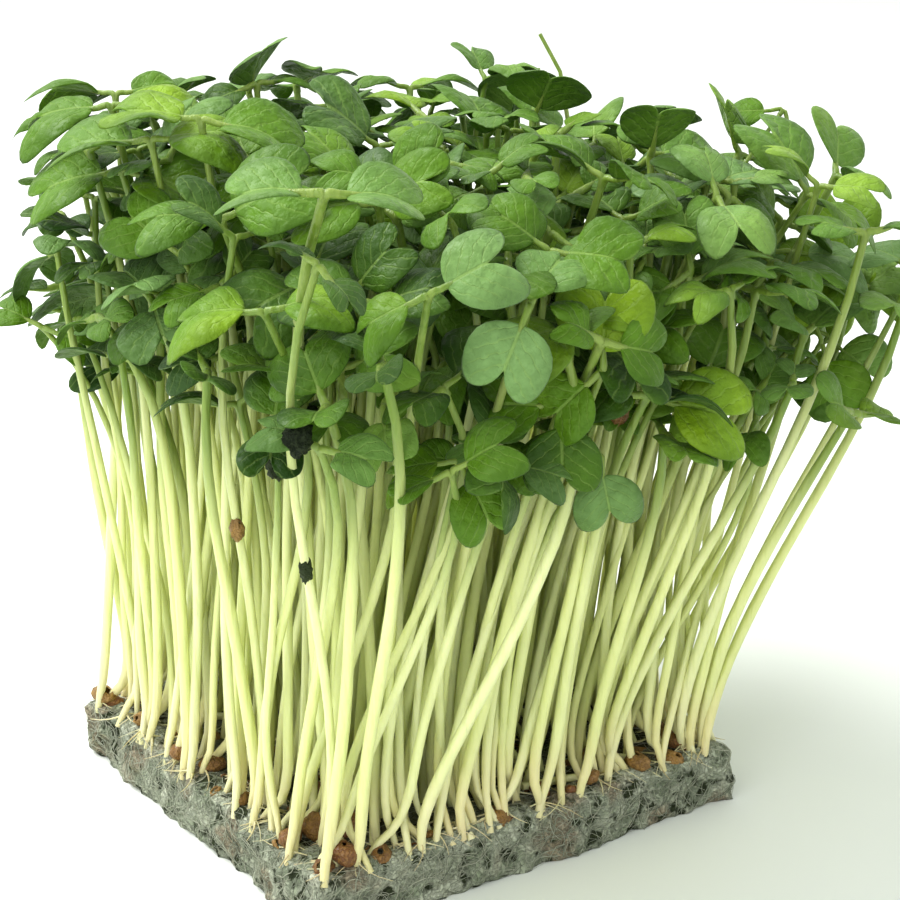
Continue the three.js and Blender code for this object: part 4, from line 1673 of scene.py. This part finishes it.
    def build(self, roots: list[Bunch], added: list[Bunch]) -> None:
        """Makes one piece for each bunch."""
        chance = Chance(self.seed)
        forms = LeafForms()
        collection = forms.collection()
        rig = self.rig()
        values = {"Sides": self.sides, "Thin Sides": self.thin_sides, "Forms": collection}
        values.update({"Stem": StemFinish().make(), "Leaf": LeafFinish().make()})
        for root, more in zip(roots, added):
            work = LineWork()
            for sprout in root.sprouts + more.sprouts:
                self.draw(sprout, work, forms.count, chance)
            piece = work.piece(root.name.replace("sprouts", "bunch"))
            rig.run(piece, values)
            hand_over(piece, Slot.SPROUT, root.name)
        work = LineWork()
        for pinned in PINNED:
            self.draw_pinned(pinned, work, forms.count, chance)
        for start, end in self.fallen:
            self.draw_fallen(start, end, work)
        piece = work.piece("outer_sprouts")
        rig.run(piece, values)
        hand_over(piece, Slot.SPROUT)
        clear(collection)


@dataclass
class Felt:
    """The growing mat: a lumpy pressed slab with ragged edges, and the fibres that lie on it."""

    steps: int = 110
    levels: int = 16
    side_relief: float = 0.75
    top_relief: float = 0.5
    ragged: float = 0.7
    side_lump: float = 2.2
    ragged_lump: float = 9
    level_relief: float = 0.3
    level_lump: float = 1.6
    top_lump: float = 2.4
    lump_softness: float = 0.9
    lump_step: float = 2.1
    lump_layers: int = 4
    rounding: float = 0.5
    rounded_share: float = 0.6
    inset: float = 0.25
    # The felt's dark colour of dirt and painted shade starts this far in from the rim, and grows over as far
    # again.
    rim_width: float = 2
    rim_without_dirt_and_shade: float = 2.4
    fibre_forms: int = 10
    fibre_points: int = 9
    fibre_length: tuple[float, float] = (3, 10)
    fibre_radius: tuple[float, float] = (0.03, 0.075)
    fibre_lift: tuple[float, float] = (0.05, 0.4)
    fibre_sink: float = 0.12
    fibre_waves: tuple[float, float] = (3, 8)
    fibre_wave: float = 0.14
    fibre_bend: float = 0.2
    fibre_taper: float = 0.6
    fibre_sides: int = 3
    fibre_density: float = 0.5e6
    layers: tuple = (("pale_fibres", 0.35, 0.45, 3), ("dull_fibres", 0.4, 0.0, 8))
    spin_seed: int = 5
    seed: int = 977

    def lumps(self, point: np.ndarray, scale: float) -> float:
        """Noise from about -1 to 1 at a point, with lumps of a given size."""
        return noise.fractal(Vector(point / scale), self.lump_softness, self.lump_step, self.lump_layers)

    def slab(self) -> bpy.types.Object:
        """The closed slab."""
        n = self.steps
        ring = [(i, 0) for i in range(n)] + [(n, i) for i in range(n)]
        ring += [(i, n) for i in range(n, 0, -1)] + [(0, i) for i in range(n, 0, -1)]
        points = []
        for level in range(self.levels + 1):
            share = level / self.levels
            for i, j in ring:
                points.append(self.rim_point(i / n - 0.5, j / n - 0.5, share))
        count = len(ring)
        faces = []
        for level in range(self.levels):
            for k in range(count):
                a = level * count + k
                b = level * count + (k + 1) % count
                faces.append((a, b, b + count, a + count))
        top = {place: self.levels * count + k for k, place in enumerate(ring)}
        for i in range(1, n):
            for j in range(1, n):
                top[(i, j)] = len(points)
                points.append(self.top_point(i / n - 0.5, j / n - 0.5))
        for i in range(n):
            for j in range(n):
                faces.append((top[(i, j)], top[(i + 1, j)], top[(i + 1, j + 1)], top[(i, j + 1)]))
        middle = len(points)
        points.append(np.zeros(3))
        faces += [(middle, (k + 1) % count, k) for k in range(count)]
        return mesh_piece("felt_mat", np.array(points), faces)

    def inner_shares(self, slab: bpy.types.Object) -> np.ndarray:
        """How far inside the stand each point of the slab lies, from 0 near the mat's edge to 1."""
        points = np.array([vertex.co for vertex in slab.data.vertices]) / MM
        edge = np.minimum(MAT.length / 2 - np.abs(points[:, 0]), MAT.width / 2 - np.abs(points[:, 1]))
        share = np.clip((edge - self.rim_without_dirt_and_shade) / self.rim_without_dirt_and_shade, 0, 1)
        return share * (points[:, 2] > MAT.thickness / 2)

    def rim_point(self, u: float, v: float, share: float) -> np.ndarray:
        """A point of the side, from its shares along the mat and its share of the height."""
        x = u * MAT.length
        y = v * MAT.width
        out = np.array([round(2 * u) if abs(u) == 0.5 else 0, round(2 * v) if abs(v) == 0.5 else 0, 0], float)
        out = unit(out)
        height = share * (MAT.height(x, y) - MAT.rim_drop)
        point = np.array([x, y, height])
        push = self.side_relief * self.lumps(point, self.side_lump)
        push += self.ragged * self.lumps(point + 40, self.ragged_lump)
        push -= self.rounding * max(0, 2 * abs(share - 0.5) - self.rounded_share)
        point = point + out * (push - self.inset)
        if 0 < share:
            point[2] += self.level_relief * share * self.lumps(point + 80, self.level_lump)
        return point

    def top_point(self, u: float, v: float) -> np.ndarray:
        """A point of the top."""
        x = u * MAT.length
        y = v * MAT.width
        edge = min(0.5 - abs(u), 0.5 - abs(v)) * MAT.length
        drop = MAT.rim_drop * max(0, 1 - edge / self.rim_width) ** 2
        relief = self.top_relief * self.lumps(np.array([x, y, 0]), self.top_lump)
        return np.array([x, y, MAT.height(x, y) - drop + relief])

    def fibres(self) -> bpy.types.Collection:
        """Bent threads that the felt's fibres are taken from."""
        chance = Chance(self.seed)
        forms = []
        shares = np.linspace(0, 1, self.fibre_points)
        for n in range(self.fibre_forms):
            length = chance.between(*self.fibre_length)
            phase = chance.turn()
            points = np.zeros((self.fibre_points, 3))
            points[:, 0] = (shares - 0.5) * length
            waves = chance.between(*self.fibre_waves)
            points[:, 1] = length * self.fibre_wave * np.sin(waves * shares + phase)
            points[:, 1] += chance.between(-self.fibre_bend, self.fibre_bend) * length * shares**2
            edges = [(k, k + 1) for k in range(self.fibre_points - 1)]
            piece = mesh_piece(f"fibre_form_{n + 10}", points, [], edges)
            lift = chance.between(*self.fibre_lift) * np.sin(math.pi * shares) - self.fibre_sink
            give_values(piece.data, "lift", lift * MM)
            radii = 1 - self.fibre_taper + self.fibre_taper * np.sin(math.pi * shares)
            radii = radii * chance.between(*self.fibre_radius)
            give_values(piece.data, "radius", radii * MM)
            forms.append(piece)
        return shelve("fibre_forms", forms)

    def rig(self) -> Rig:
        """The tree that lays fibres on the slab."""
        kinds = {"Sides": "Int", "Density": "Float", "Top Share": "Float", "Seed": "Int"}
        rig = Rig("felt_fibres", {**kinds, "Low Tone": "Float", "Forms": "Collection", "Fibre": "Material"})
        add = rig.sketch.add
        slab = rig.inputs["Geometry"]
        normal = add("GeometryNodeInputNormal").outputs[0]
        upward = add("ShaderNodeSeparateXYZ", {0: normal}).outputs[2]
        weight = rig.sketch.ramp(upward, 0.4, 0.8, 1.0, rig.inputs["Top Share"])
        weight = rig.sketch.maths("MULTIPLY", weight, rig.sketch.maths("GREATER_THAN", upward, -0.7))
        density = rig.sketch.maths("MULTIPLY", weight, rig.inputs["Density"])
        seed = rig.inputs["Seed"]
        spread, toned = rig.strew(density, seed, rig.random(rig.inputs["Low Tone"], 1.0, seed))
        angle = rig.random(0.0, 2 * math.pi, self.spin_seed)
        spin = add("FunctionNodeAxisAngleToRotation", {"Axis": (0, 0, 1), "Angle": angle})
        turn = add(
            "FunctionNodeRotateRotation",
            {"Rotation": spread.outputs["Rotation"], "Rotate By": spin.outputs[0]},
            rotation_space="LOCAL",
        )
        whole = rig.lay(toned.outputs[0], turn.outputs[0], {})
        near = add("GeometryNodeProximity", {0: slab}, target_element="FACES")
        feeds = {"Mesh": slab, "Value": normal}
        facing = add("GeometryNodeSampleNearestSurface", feeds, data_type="FLOAT_VECTOR")
        feeds = {0: facing.outputs[0], "Scale": rig.attribute("lift")}
        lift = add("ShaderNodeVectorMath", feeds, operation="SCALE")
        snug = add("ShaderNodeVectorMath", {0: near.outputs[0], 1: lift.outputs[0]}, operation="ADD")
        pressed = add("GeometryNodeSetPosition", {"Geometry": whole, "Position": snug.outputs[0]})
        tubes = rig.tubes(pressed.outputs[0], rig.inputs["Sides"], rig.inputs["Fibre"])
        here = add("ShaderNodeSeparateXYZ", {0: add("GeometryNodeInputPosition").outputs[0]})
        above = rig.sketch.maths("MAXIMUM", here.outputs[2], 0.00002)
        floored = add("ShaderNodeCombineXYZ", {0: here.outputs[0], 1: here.outputs[1], 2: above})
        done = add("GeometryNodeSetPosition", {"Geometry": tubes, "Position": floored.outputs[0]})
        return rig.end(done.outputs[0])

    def build(self) -> bpy.types.Object:
        """Makes the slab and two layers of fibres, and gives the slab back."""
        slab = self.slab()
        slab.data.shade_smooth()
        give_values(slab.data, "inner", self.inner_shares(slab))
        slab.data.materials.append(FeltFinish().make())
        forms = self.fibres()
        rig = self.rig()
        fibre = FibreFinish().make()
        for name, top_share, low_tone, seed in self.layers:
            piece = link(bpy.data.objects.new(name, slab.data.copy()))
            values = {"Sides": self.fibre_sides, "Density": self.fibre_density, "Seed": seed}
            values.update({"Top Share": top_share, "Low Tone": low_tone, "Forms": forms, "Fibre": fibre})
            rig.run(piece, values)
            hand_over(piece, Slot.FELT)
        clear(forms)
        return hand_over(slab, Slot.FELT, "growing_mat")


@dataclass(frozen=True)
class Husks:
    """Empty seed coats, split open, with a thin wall."""

    radii: tuple[float, float, float] = (2, 1.4, 1.2)
    sunk: float = 0.4
    around: int = 20
    rings: int = 10
    wall: float = 0.14
    gape: tuple[float, float] = (0.15, 0.5)
    wrinkle: float = 0.2
    wrinkle_scale: float = 2.2
    crease: float = 0.035
    crease_scale: float = 7
    inset: float = 0.09
    tilt: float = 0.9
    seed: int = 661

    def shell(
        self, middle: np.ndarray, radii: np.ndarray, turn: float, tilt: float, chance: Chance
    ) -> tuple[np.ndarray, list[tuple]]:
        """One split coat.

        Args:
            middle: Its middle.
            radii: Its size along, across and upwards, as radii.
            turn: Its turn about the vertical.
            tilt: How far its mouth leans from straight up.
            chance: Where its gape and its wrinkles come from.

        Returns:
            Its points and faces.
        """
        gape = chance.between(*self.gape)
        shift = chance.between(0, 50)
        angles = np.linspace(gape, math.pi, self.rings, endpoint=False)
        points = []
        for scale, polar in ((1.0, angles), (1 - self.wall, angles[::-1])):
            for angle in polar:
                for n in range(self.around):
                    way = 2 * math.pi * n / self.around
                    flat = math.sin(angle)
                    out = Vector((flat * math.cos(way), flat * math.sin(way), math.cos(angle)))
                    wrinkle = self.wrinkle * noise.noise(out * self.wrinkle_scale + Vector((shift, 0, 0)))
                    wrinkle += self.crease * noise.noise(out * self.crease_scale + Vector((shift, 9, 0)))
                    points.append(out * (scale - self.inset + wrinkle))
        low = Vector((0, 0, self.inset - 1))
        points += [low, low * (1 - self.wall)]
        count = self.around
        rows = 2 * self.rings
        outer_pole = rows * count
        faces = []
        for n in range(count):
            m = (n + 1) % count
            for row in range(rows - 1):
                start = row * count
                after = start + count
                if row == self.rings - 1:
                    faces.append((start + n, outer_pole, start + m))
                    faces.append((after + m, outer_pole + 1, after + n))
                else:
                    faces.append((start + n, after + n, after + m, start + m))
            end = (rows - 1) * count
            faces.append((end + n, n, m, end + m))
        turned = np.array(points) @ np.array(Matrix.Rotation(tilt, 3, "Y")).T
        turned = (turned * radii) @ np.array(Matrix.Rotation(turn, 3, "Z")).T
        return turned + middle, faces

    def build(self, places: tuple, husk: bpy.types.Material) -> None:
        """Makes a piece for each seed coat of the solids."""
        chance = Chance(self.seed)
        for n, (x, y) in enumerate(places):
            height = MAT.height(x, y) - MAT.rim_drop / 2 + self.radii[2] * (1 - 2 * self.sunk)
            middle = np.array([x, y, height])
            tilt = chance.between(-self.tilt, self.tilt)
            points, faces = self.shell(middle, np.array(self.radii), math.atan2(y, x), tilt, chance)
            piece = mesh_piece(f"husk_{n + 1}", points, faces)
            piece.data.shade_smooth()
            piece.data.materials.append(husk)
            give_values(piece.data, "tone", np.full(len(points), chance.share()))
            hand_over(piece, Slot.SEED_COAT, f"seed_coat_{n + 1}")


@dataclass(frozen=True)
class Scrap:
    """A seed coat or dead leaf, with its size as radii along, across and upwards, and its tone."""

    place: tuple[float, ...]
    radii: tuple[float, float, float]
    tone: float


@dataclass
class Scraps:
    """Loose seed coats between the stems' feet, and bits that are caught on stems and leaves."""

    lying: tuple = (
        Scrap((-28.4, -19.5), (1.9, 1.4, 1.2), 0.3),
        Scrap((-28.7, -8.5), (1.6, 1.1, 1.0), 0.75),
        Scrap((-28.5, 7), (2.0, 1.4, 1.2), 0.45),
        Scrap((-28.3, 17.5), (1.8, 1.2, 1.1), 0.9),
        Scrap((-25.8, -27.3), (2.1, 1.7, 1.5), 0.15),
        Scrap((9.5, -27.6), (1.7, 1.2, 1.0), 0.55),
        Scrap((17.2, -27.4), (2.1, 1.4, 1.2), 0.7),
        Scrap((-27, 2), (1.9, 1.3, 1.1), 0.5),
        Scrap((-29, 28.2), (2.3, 1.5, 1.2), 1.0),
        Scrap((-19.3, -12), (2.7, 2.0, 1.8), 0.35),
        Scrap((-22.5, -22), (2.5, 2.0, 1.9), 0.2),
        Scrap((-25.2, -20.5), (2.3, 1.5, 2.0), 0.6),
        Scrap((-17.6, 27), (1.9, 1.3, 1.1), 0.8),
        Scrap((2.8, -26.4), (1.6, 1.1, 1.0), 0.3),
        Scrap((13.5, -24.2), (2.7, 1.9, 1.6), 0.65),
        Scrap((24, -17.5), (2.7, 1.9, 1.6), 0.7),
        Scrap((24.5, -25), (2.2, 1.5, 1.3), 0.35),
        Scrap((28.3, -9), (2.0, 1.3, 1.1), 0.4),
    )
    caught: tuple = (
        Scrap((-31, -15.6, 45.5), (1.3, 0.9, 1.5), 0.9),
        Scrap((-0.7, -43, 62.8), (2.1, 1.6, 2.0), 0.25),
    )
    rotten: tuple = (
        Scrap((-34, -35.8, 63.9), (2.6, 1.8, 2.4), 0.3),
        Scrap((-34, -33.5, 61.5), (1.8, 1.6, 2.0), 0.1),
        Scrap((-34, -29.7, 57.8), (1.4, 1.1, 1.8), 0.5),
        Scrap((-31, -30.1, 44.8), (0.8, 0.7, 1.5), 1.0),
    )
    stem_room: float = 0.3
    reach: float = 1.2
    anchor_steps: int = 12
    anchor_shares: tuple[float, ...] = (0.1, 0.25, 0.4, 0.55, 0.7)
    forms: int = 6
    form_radius: tuple[float, float] = (0.8, 1.5)
    form_shape: tuple[float, float, float] = (1.0, 0.7, 0.5)
    form_tilt: float = 1
    litter_maker: Husks = Husks(around=9, rings=4, gape=(0.9, 1.7))
    rotten_maker: Husks = Husks(gape=(0.08, 0.2), wrinkle=0.5)
    rotten_shine: float = 0.12
    caught_tilt: float = 1.2
    lying_lift: float = 0.7
    litter_turn: tuple[float, float, float] = (0.6, 0.6, 6.3)
    density: float = 42000
    strew_seed: int = 4
    tone_seed: int = 2
    spin_seed: int = 7
    seed: int = 1409

    def anchors(self, stems: list[np.ndarray], sprouts: list[Sprout]) -> np.ndarray:
        """Points all along the stems as drawn and on the leaves' middle lines."""
        shares = np.linspace(0, 1, self.anchor_steps)[:, None]
        points = [mix(start, end, shares) for stem in stems for start, end in zip(stem, stem[1:])]
        leaves = [leaf for sprout in sprouts for leaf in sprout.leaves]
        for pinned in PINNED:
            leaves += [wanted.leaf(np.array(pinned.joint)) for wanted in pinned.leaves]
        middles = [[leaf.point(0, along) for along in self.anchor_shares] for leaf in leaves]
        return np.concatenate(points + middles)

    def gather(
        self, name: str, scraps: list[tuple[np.ndarray, Scrap]], maker: Husks, finish: bpy.types.Material
    ) -> None:
        """Makes one piece of some scraps.

        Args:
            name: The piece's name.
            scraps: Each scrap with its middle.
            maker: Shapes them.
            finish: Its material.
        """
        chance = Chance(self.seed)
        points = []
        faces = []
        tones = []
        for middle, scrap in scraps:
            tilt = chance.between(-self.caught_tilt, self.caught_tilt)
            shell, sides = maker.shell(middle, np.array(scrap.radii), chance.turn(), tilt, chance)
            first = sum(len(rows) for rows in points)
            faces += [tuple(first + corner for corner in side) for side in sides]
            points.append(shell)
            tones += [scrap.tone] * len(shell)
        piece = mesh_piece(name, np.concatenate(points), faces)
        piece.data.shade_smooth()
        piece.data.materials.append(finish)
        give_values(piece.data, "tone", np.array(tones))
        hand_over(piece, Slot.SEED_COAT)

    def rig(self) -> Rig:
        """The tree that strews small scraps over the felt's top."""
        rig = Rig("litter", {"Density": "Float", "Seed": "Int", "Forms": "Collection", "Husk": "Material"})
        add = rig.sketch.add
        normal = add("GeometryNodeInputNormal").outputs[0]
        upward = add("ShaderNodeSeparateXYZ", {0: normal}).outputs[2]
        top = rig.sketch.ramp(upward, 0.6, 0.9, 0.0, rig.inputs["Density"])
        _, toned = rig.strew(top, rig.inputs["Seed"], rig.random(0.0, 1.0, self.tone_seed))
        lean_x, lean_y, spin = self.litter_turn
        feeds = {0: (-lean_x, -lean_y, 0.0), 1: (lean_x, lean_y, spin), "Seed": self.spin_seed}
        turn = add("FunctionNodeRandomValue", feeds, data_type="FLOAT_VECTOR")
        turned = add("FunctionNodeEulerToRotation", {"Euler": turn.outputs[0]})
        whole = rig.lay(toned.outputs[0], turned.outputs[0], {})
        done = add("GeometryNodeSetMaterial", {"Geometry": whole, "Material": rig.inputs["Husk"]})
        return rig.end(done.outputs[0])

    def strew(self, slab: bpy.types.Object, finish: bpy.types.Material) -> None:
        """Makes the piece of small scraps on the slab."""
        chance = Chance(self.seed)
        shapes = []
        for n in range(self.forms):
            radii = chance.between(*self.form_radius) * np.array(self.form_shape)
            tilt = chance.between(-self.form_tilt, self.form_tilt)
            points, faces = self.litter_maker.shell(np.zeros(3), radii, 0.0, tilt, chance)
            form = mesh_piece(f"scrap_form_{n + 10}", points, faces)
            form.data.shade_smooth()
            shapes.append(form)
        forms = shelve("scrap_forms", shapes)
        piece = link(bpy.data.objects.new("litter", slab.data.copy()))
        values = {"Density": self.density, "Seed": self.strew_seed, "Forms": forms, "Husk": finish}
        self.rig().run(piece, values)
        hand_over(piece, Slot.SEED_COAT)
        clear(forms)

    def build(
        self, slab: bpy.types.Object, stems: list[np.ndarray], sprouts: list[Sprout], husk: bpy.types.Material
    ) -> None:
        """Makes all the scraps.

        Args:
            slab: The growing mat that they lie on.
            stems: The middle lines of all stems as drawn.
            sprouts: The sprouts whose leaves they may hang on.
            husk: The seed coats' material.
        """
        anchors = self.anchors(stems, sprouts)
        lying = []
        for scrap in self.lying:
            x, y = scrap.place
            lying.append((np.array([x, y, MAT.height(x, y) + scrap.radii[2] * self.lying_lift]), scrap))
        for scrap in self.caught:
            lying.append((self.caught_at(scrap, anchors), scrap))
        self.gather("loose_husks", lying, Husks(), husk)
        rotten = [(self.caught_at(scrap, anchors), scrap) for scrap in self.rotten]
        dark = HuskFinish("rotten", *ROTTEN, shine=self.rotten_shine).make()
        self.gather("rotten_bits", rotten, self.rotten_maker, dark)
        self.strew(slab, husk)

    def caught_at(self, scrap: Scrap, anchors: np.ndarray) -> np.ndarray:
        """The middle of a scrap that clings to the foremost stem or leaf at its place in the picture."""
        steps = anchors - np.array(scrap.place)
        nearness = steps @ PICTURE[2]
        aside = np.linalg.norm(steps - nearness[:, None] * PICTURE[2], axis=1)
        foremost = anchors[aside < self.reach][np.argmax(nearness[aside < self.reach])]
        return foremost + PICTURE[2] * (self.stem_room + 0.5 * min(scrap.radii))


@dataclass
class Studio:
    """A plain pale floor, soft light from high behind on the left, and the photograph's camera."""

    camera_place: tuple[float, float, float] = (-0.148, -0.228, 0.139)
    lens: float = 92
    sensor: float = 36
    sky: float = 1.0
    sky_colour: tuple = opaque(0.97, 1.0, 0.97)
    lamps: tuple = (("key", (-0.2, 0.3, 0.6), 0.4, 5.2), ("side", (-0.55, -0.2, 0.35), 0.5, 1.6))
    floor_size: float = 8
    floor_gap: float = 0.05

    def build(self) -> None:
        """Sets everything up."""
        self.floor()
        for lamp in self.lamps:
            self.light(*lamp)
        world = bpy.data.worlds.new("studio")
        world.use_nodes = True
        background = world.node_tree.nodes["Background"]
        background.inputs["Color"].default_value = self.sky_colour
        background.inputs["Strength"].default_value = self.sky
        bpy.context.scene.world = world
        bpy.context.scene.view_settings.view_transform = "Standard"
        self.camera()

    def floor(self) -> None:
        """Lays the floor."""
        reach = self.floor_size / 2 / MM
        sides = ((-1, -1), (1, -1), (1, 1), (-1, 1))
        corners = np.array([[x * reach, y * reach, -self.floor_gap] for x, y in sides])
        floor = mesh_piece("floor", corners, [(0, 1, 2, 3)])
        floor.data.materials.append(FloorFinish().make())

    def light(self, name: str, place: tuple[float, float, float], size: float, power: float) -> None:
        """Hangs a soft light that points at the middle of the block."""
        lamp = bpy.data.lights.new(name, "AREA")
        lamp.size = size
        lamp.energy = power
        holder = link(bpy.data.objects.new(name, lamp))
        holder.location = place
        aim = Vector((0, 0, 0.05)) - Vector(place)
        holder.rotation_euler = aim.to_track_quat("-Z", "Y").to_euler()

    def camera(self) -> None:
        """Puts the camera where the photograph was taken from."""
        eye = bpy.data.cameras.new("camera")
        eye.lens = self.lens
        eye.sensor_width = self.sensor
        eye.clip_start = 0.01
        holder = link(bpy.data.objects.new("camera", eye))
        holder.location = self.camera_place
        holder.rotation_euler = Vector(-PICTURE[2]).to_track_quat("-Z", "Y").to_euler()
        bpy.context.scene.camera = holder


def main() -> None:
    """Builds the dressed block."""
    logging.basicConfig(level=logging.INFO, format="%(message)s")
    Studio().build()
    stand = Stand()
    roots = stand.bunches()
    note_places(roots)
    added = stand.fill(roots)
    sprouts = Sprouts()
    sprouts.build(roots, added)
    slab = Felt().build()
    husk = HuskFinish().make()
    Husks().build(stand.seed_coats, husk)
    standing = [sprout for bunch in roots + added for sprout in bunch.sprouts]
    Scraps().build(slab, sprouts.stems, standing, husk)


if __name__ == "__main__":
    main()
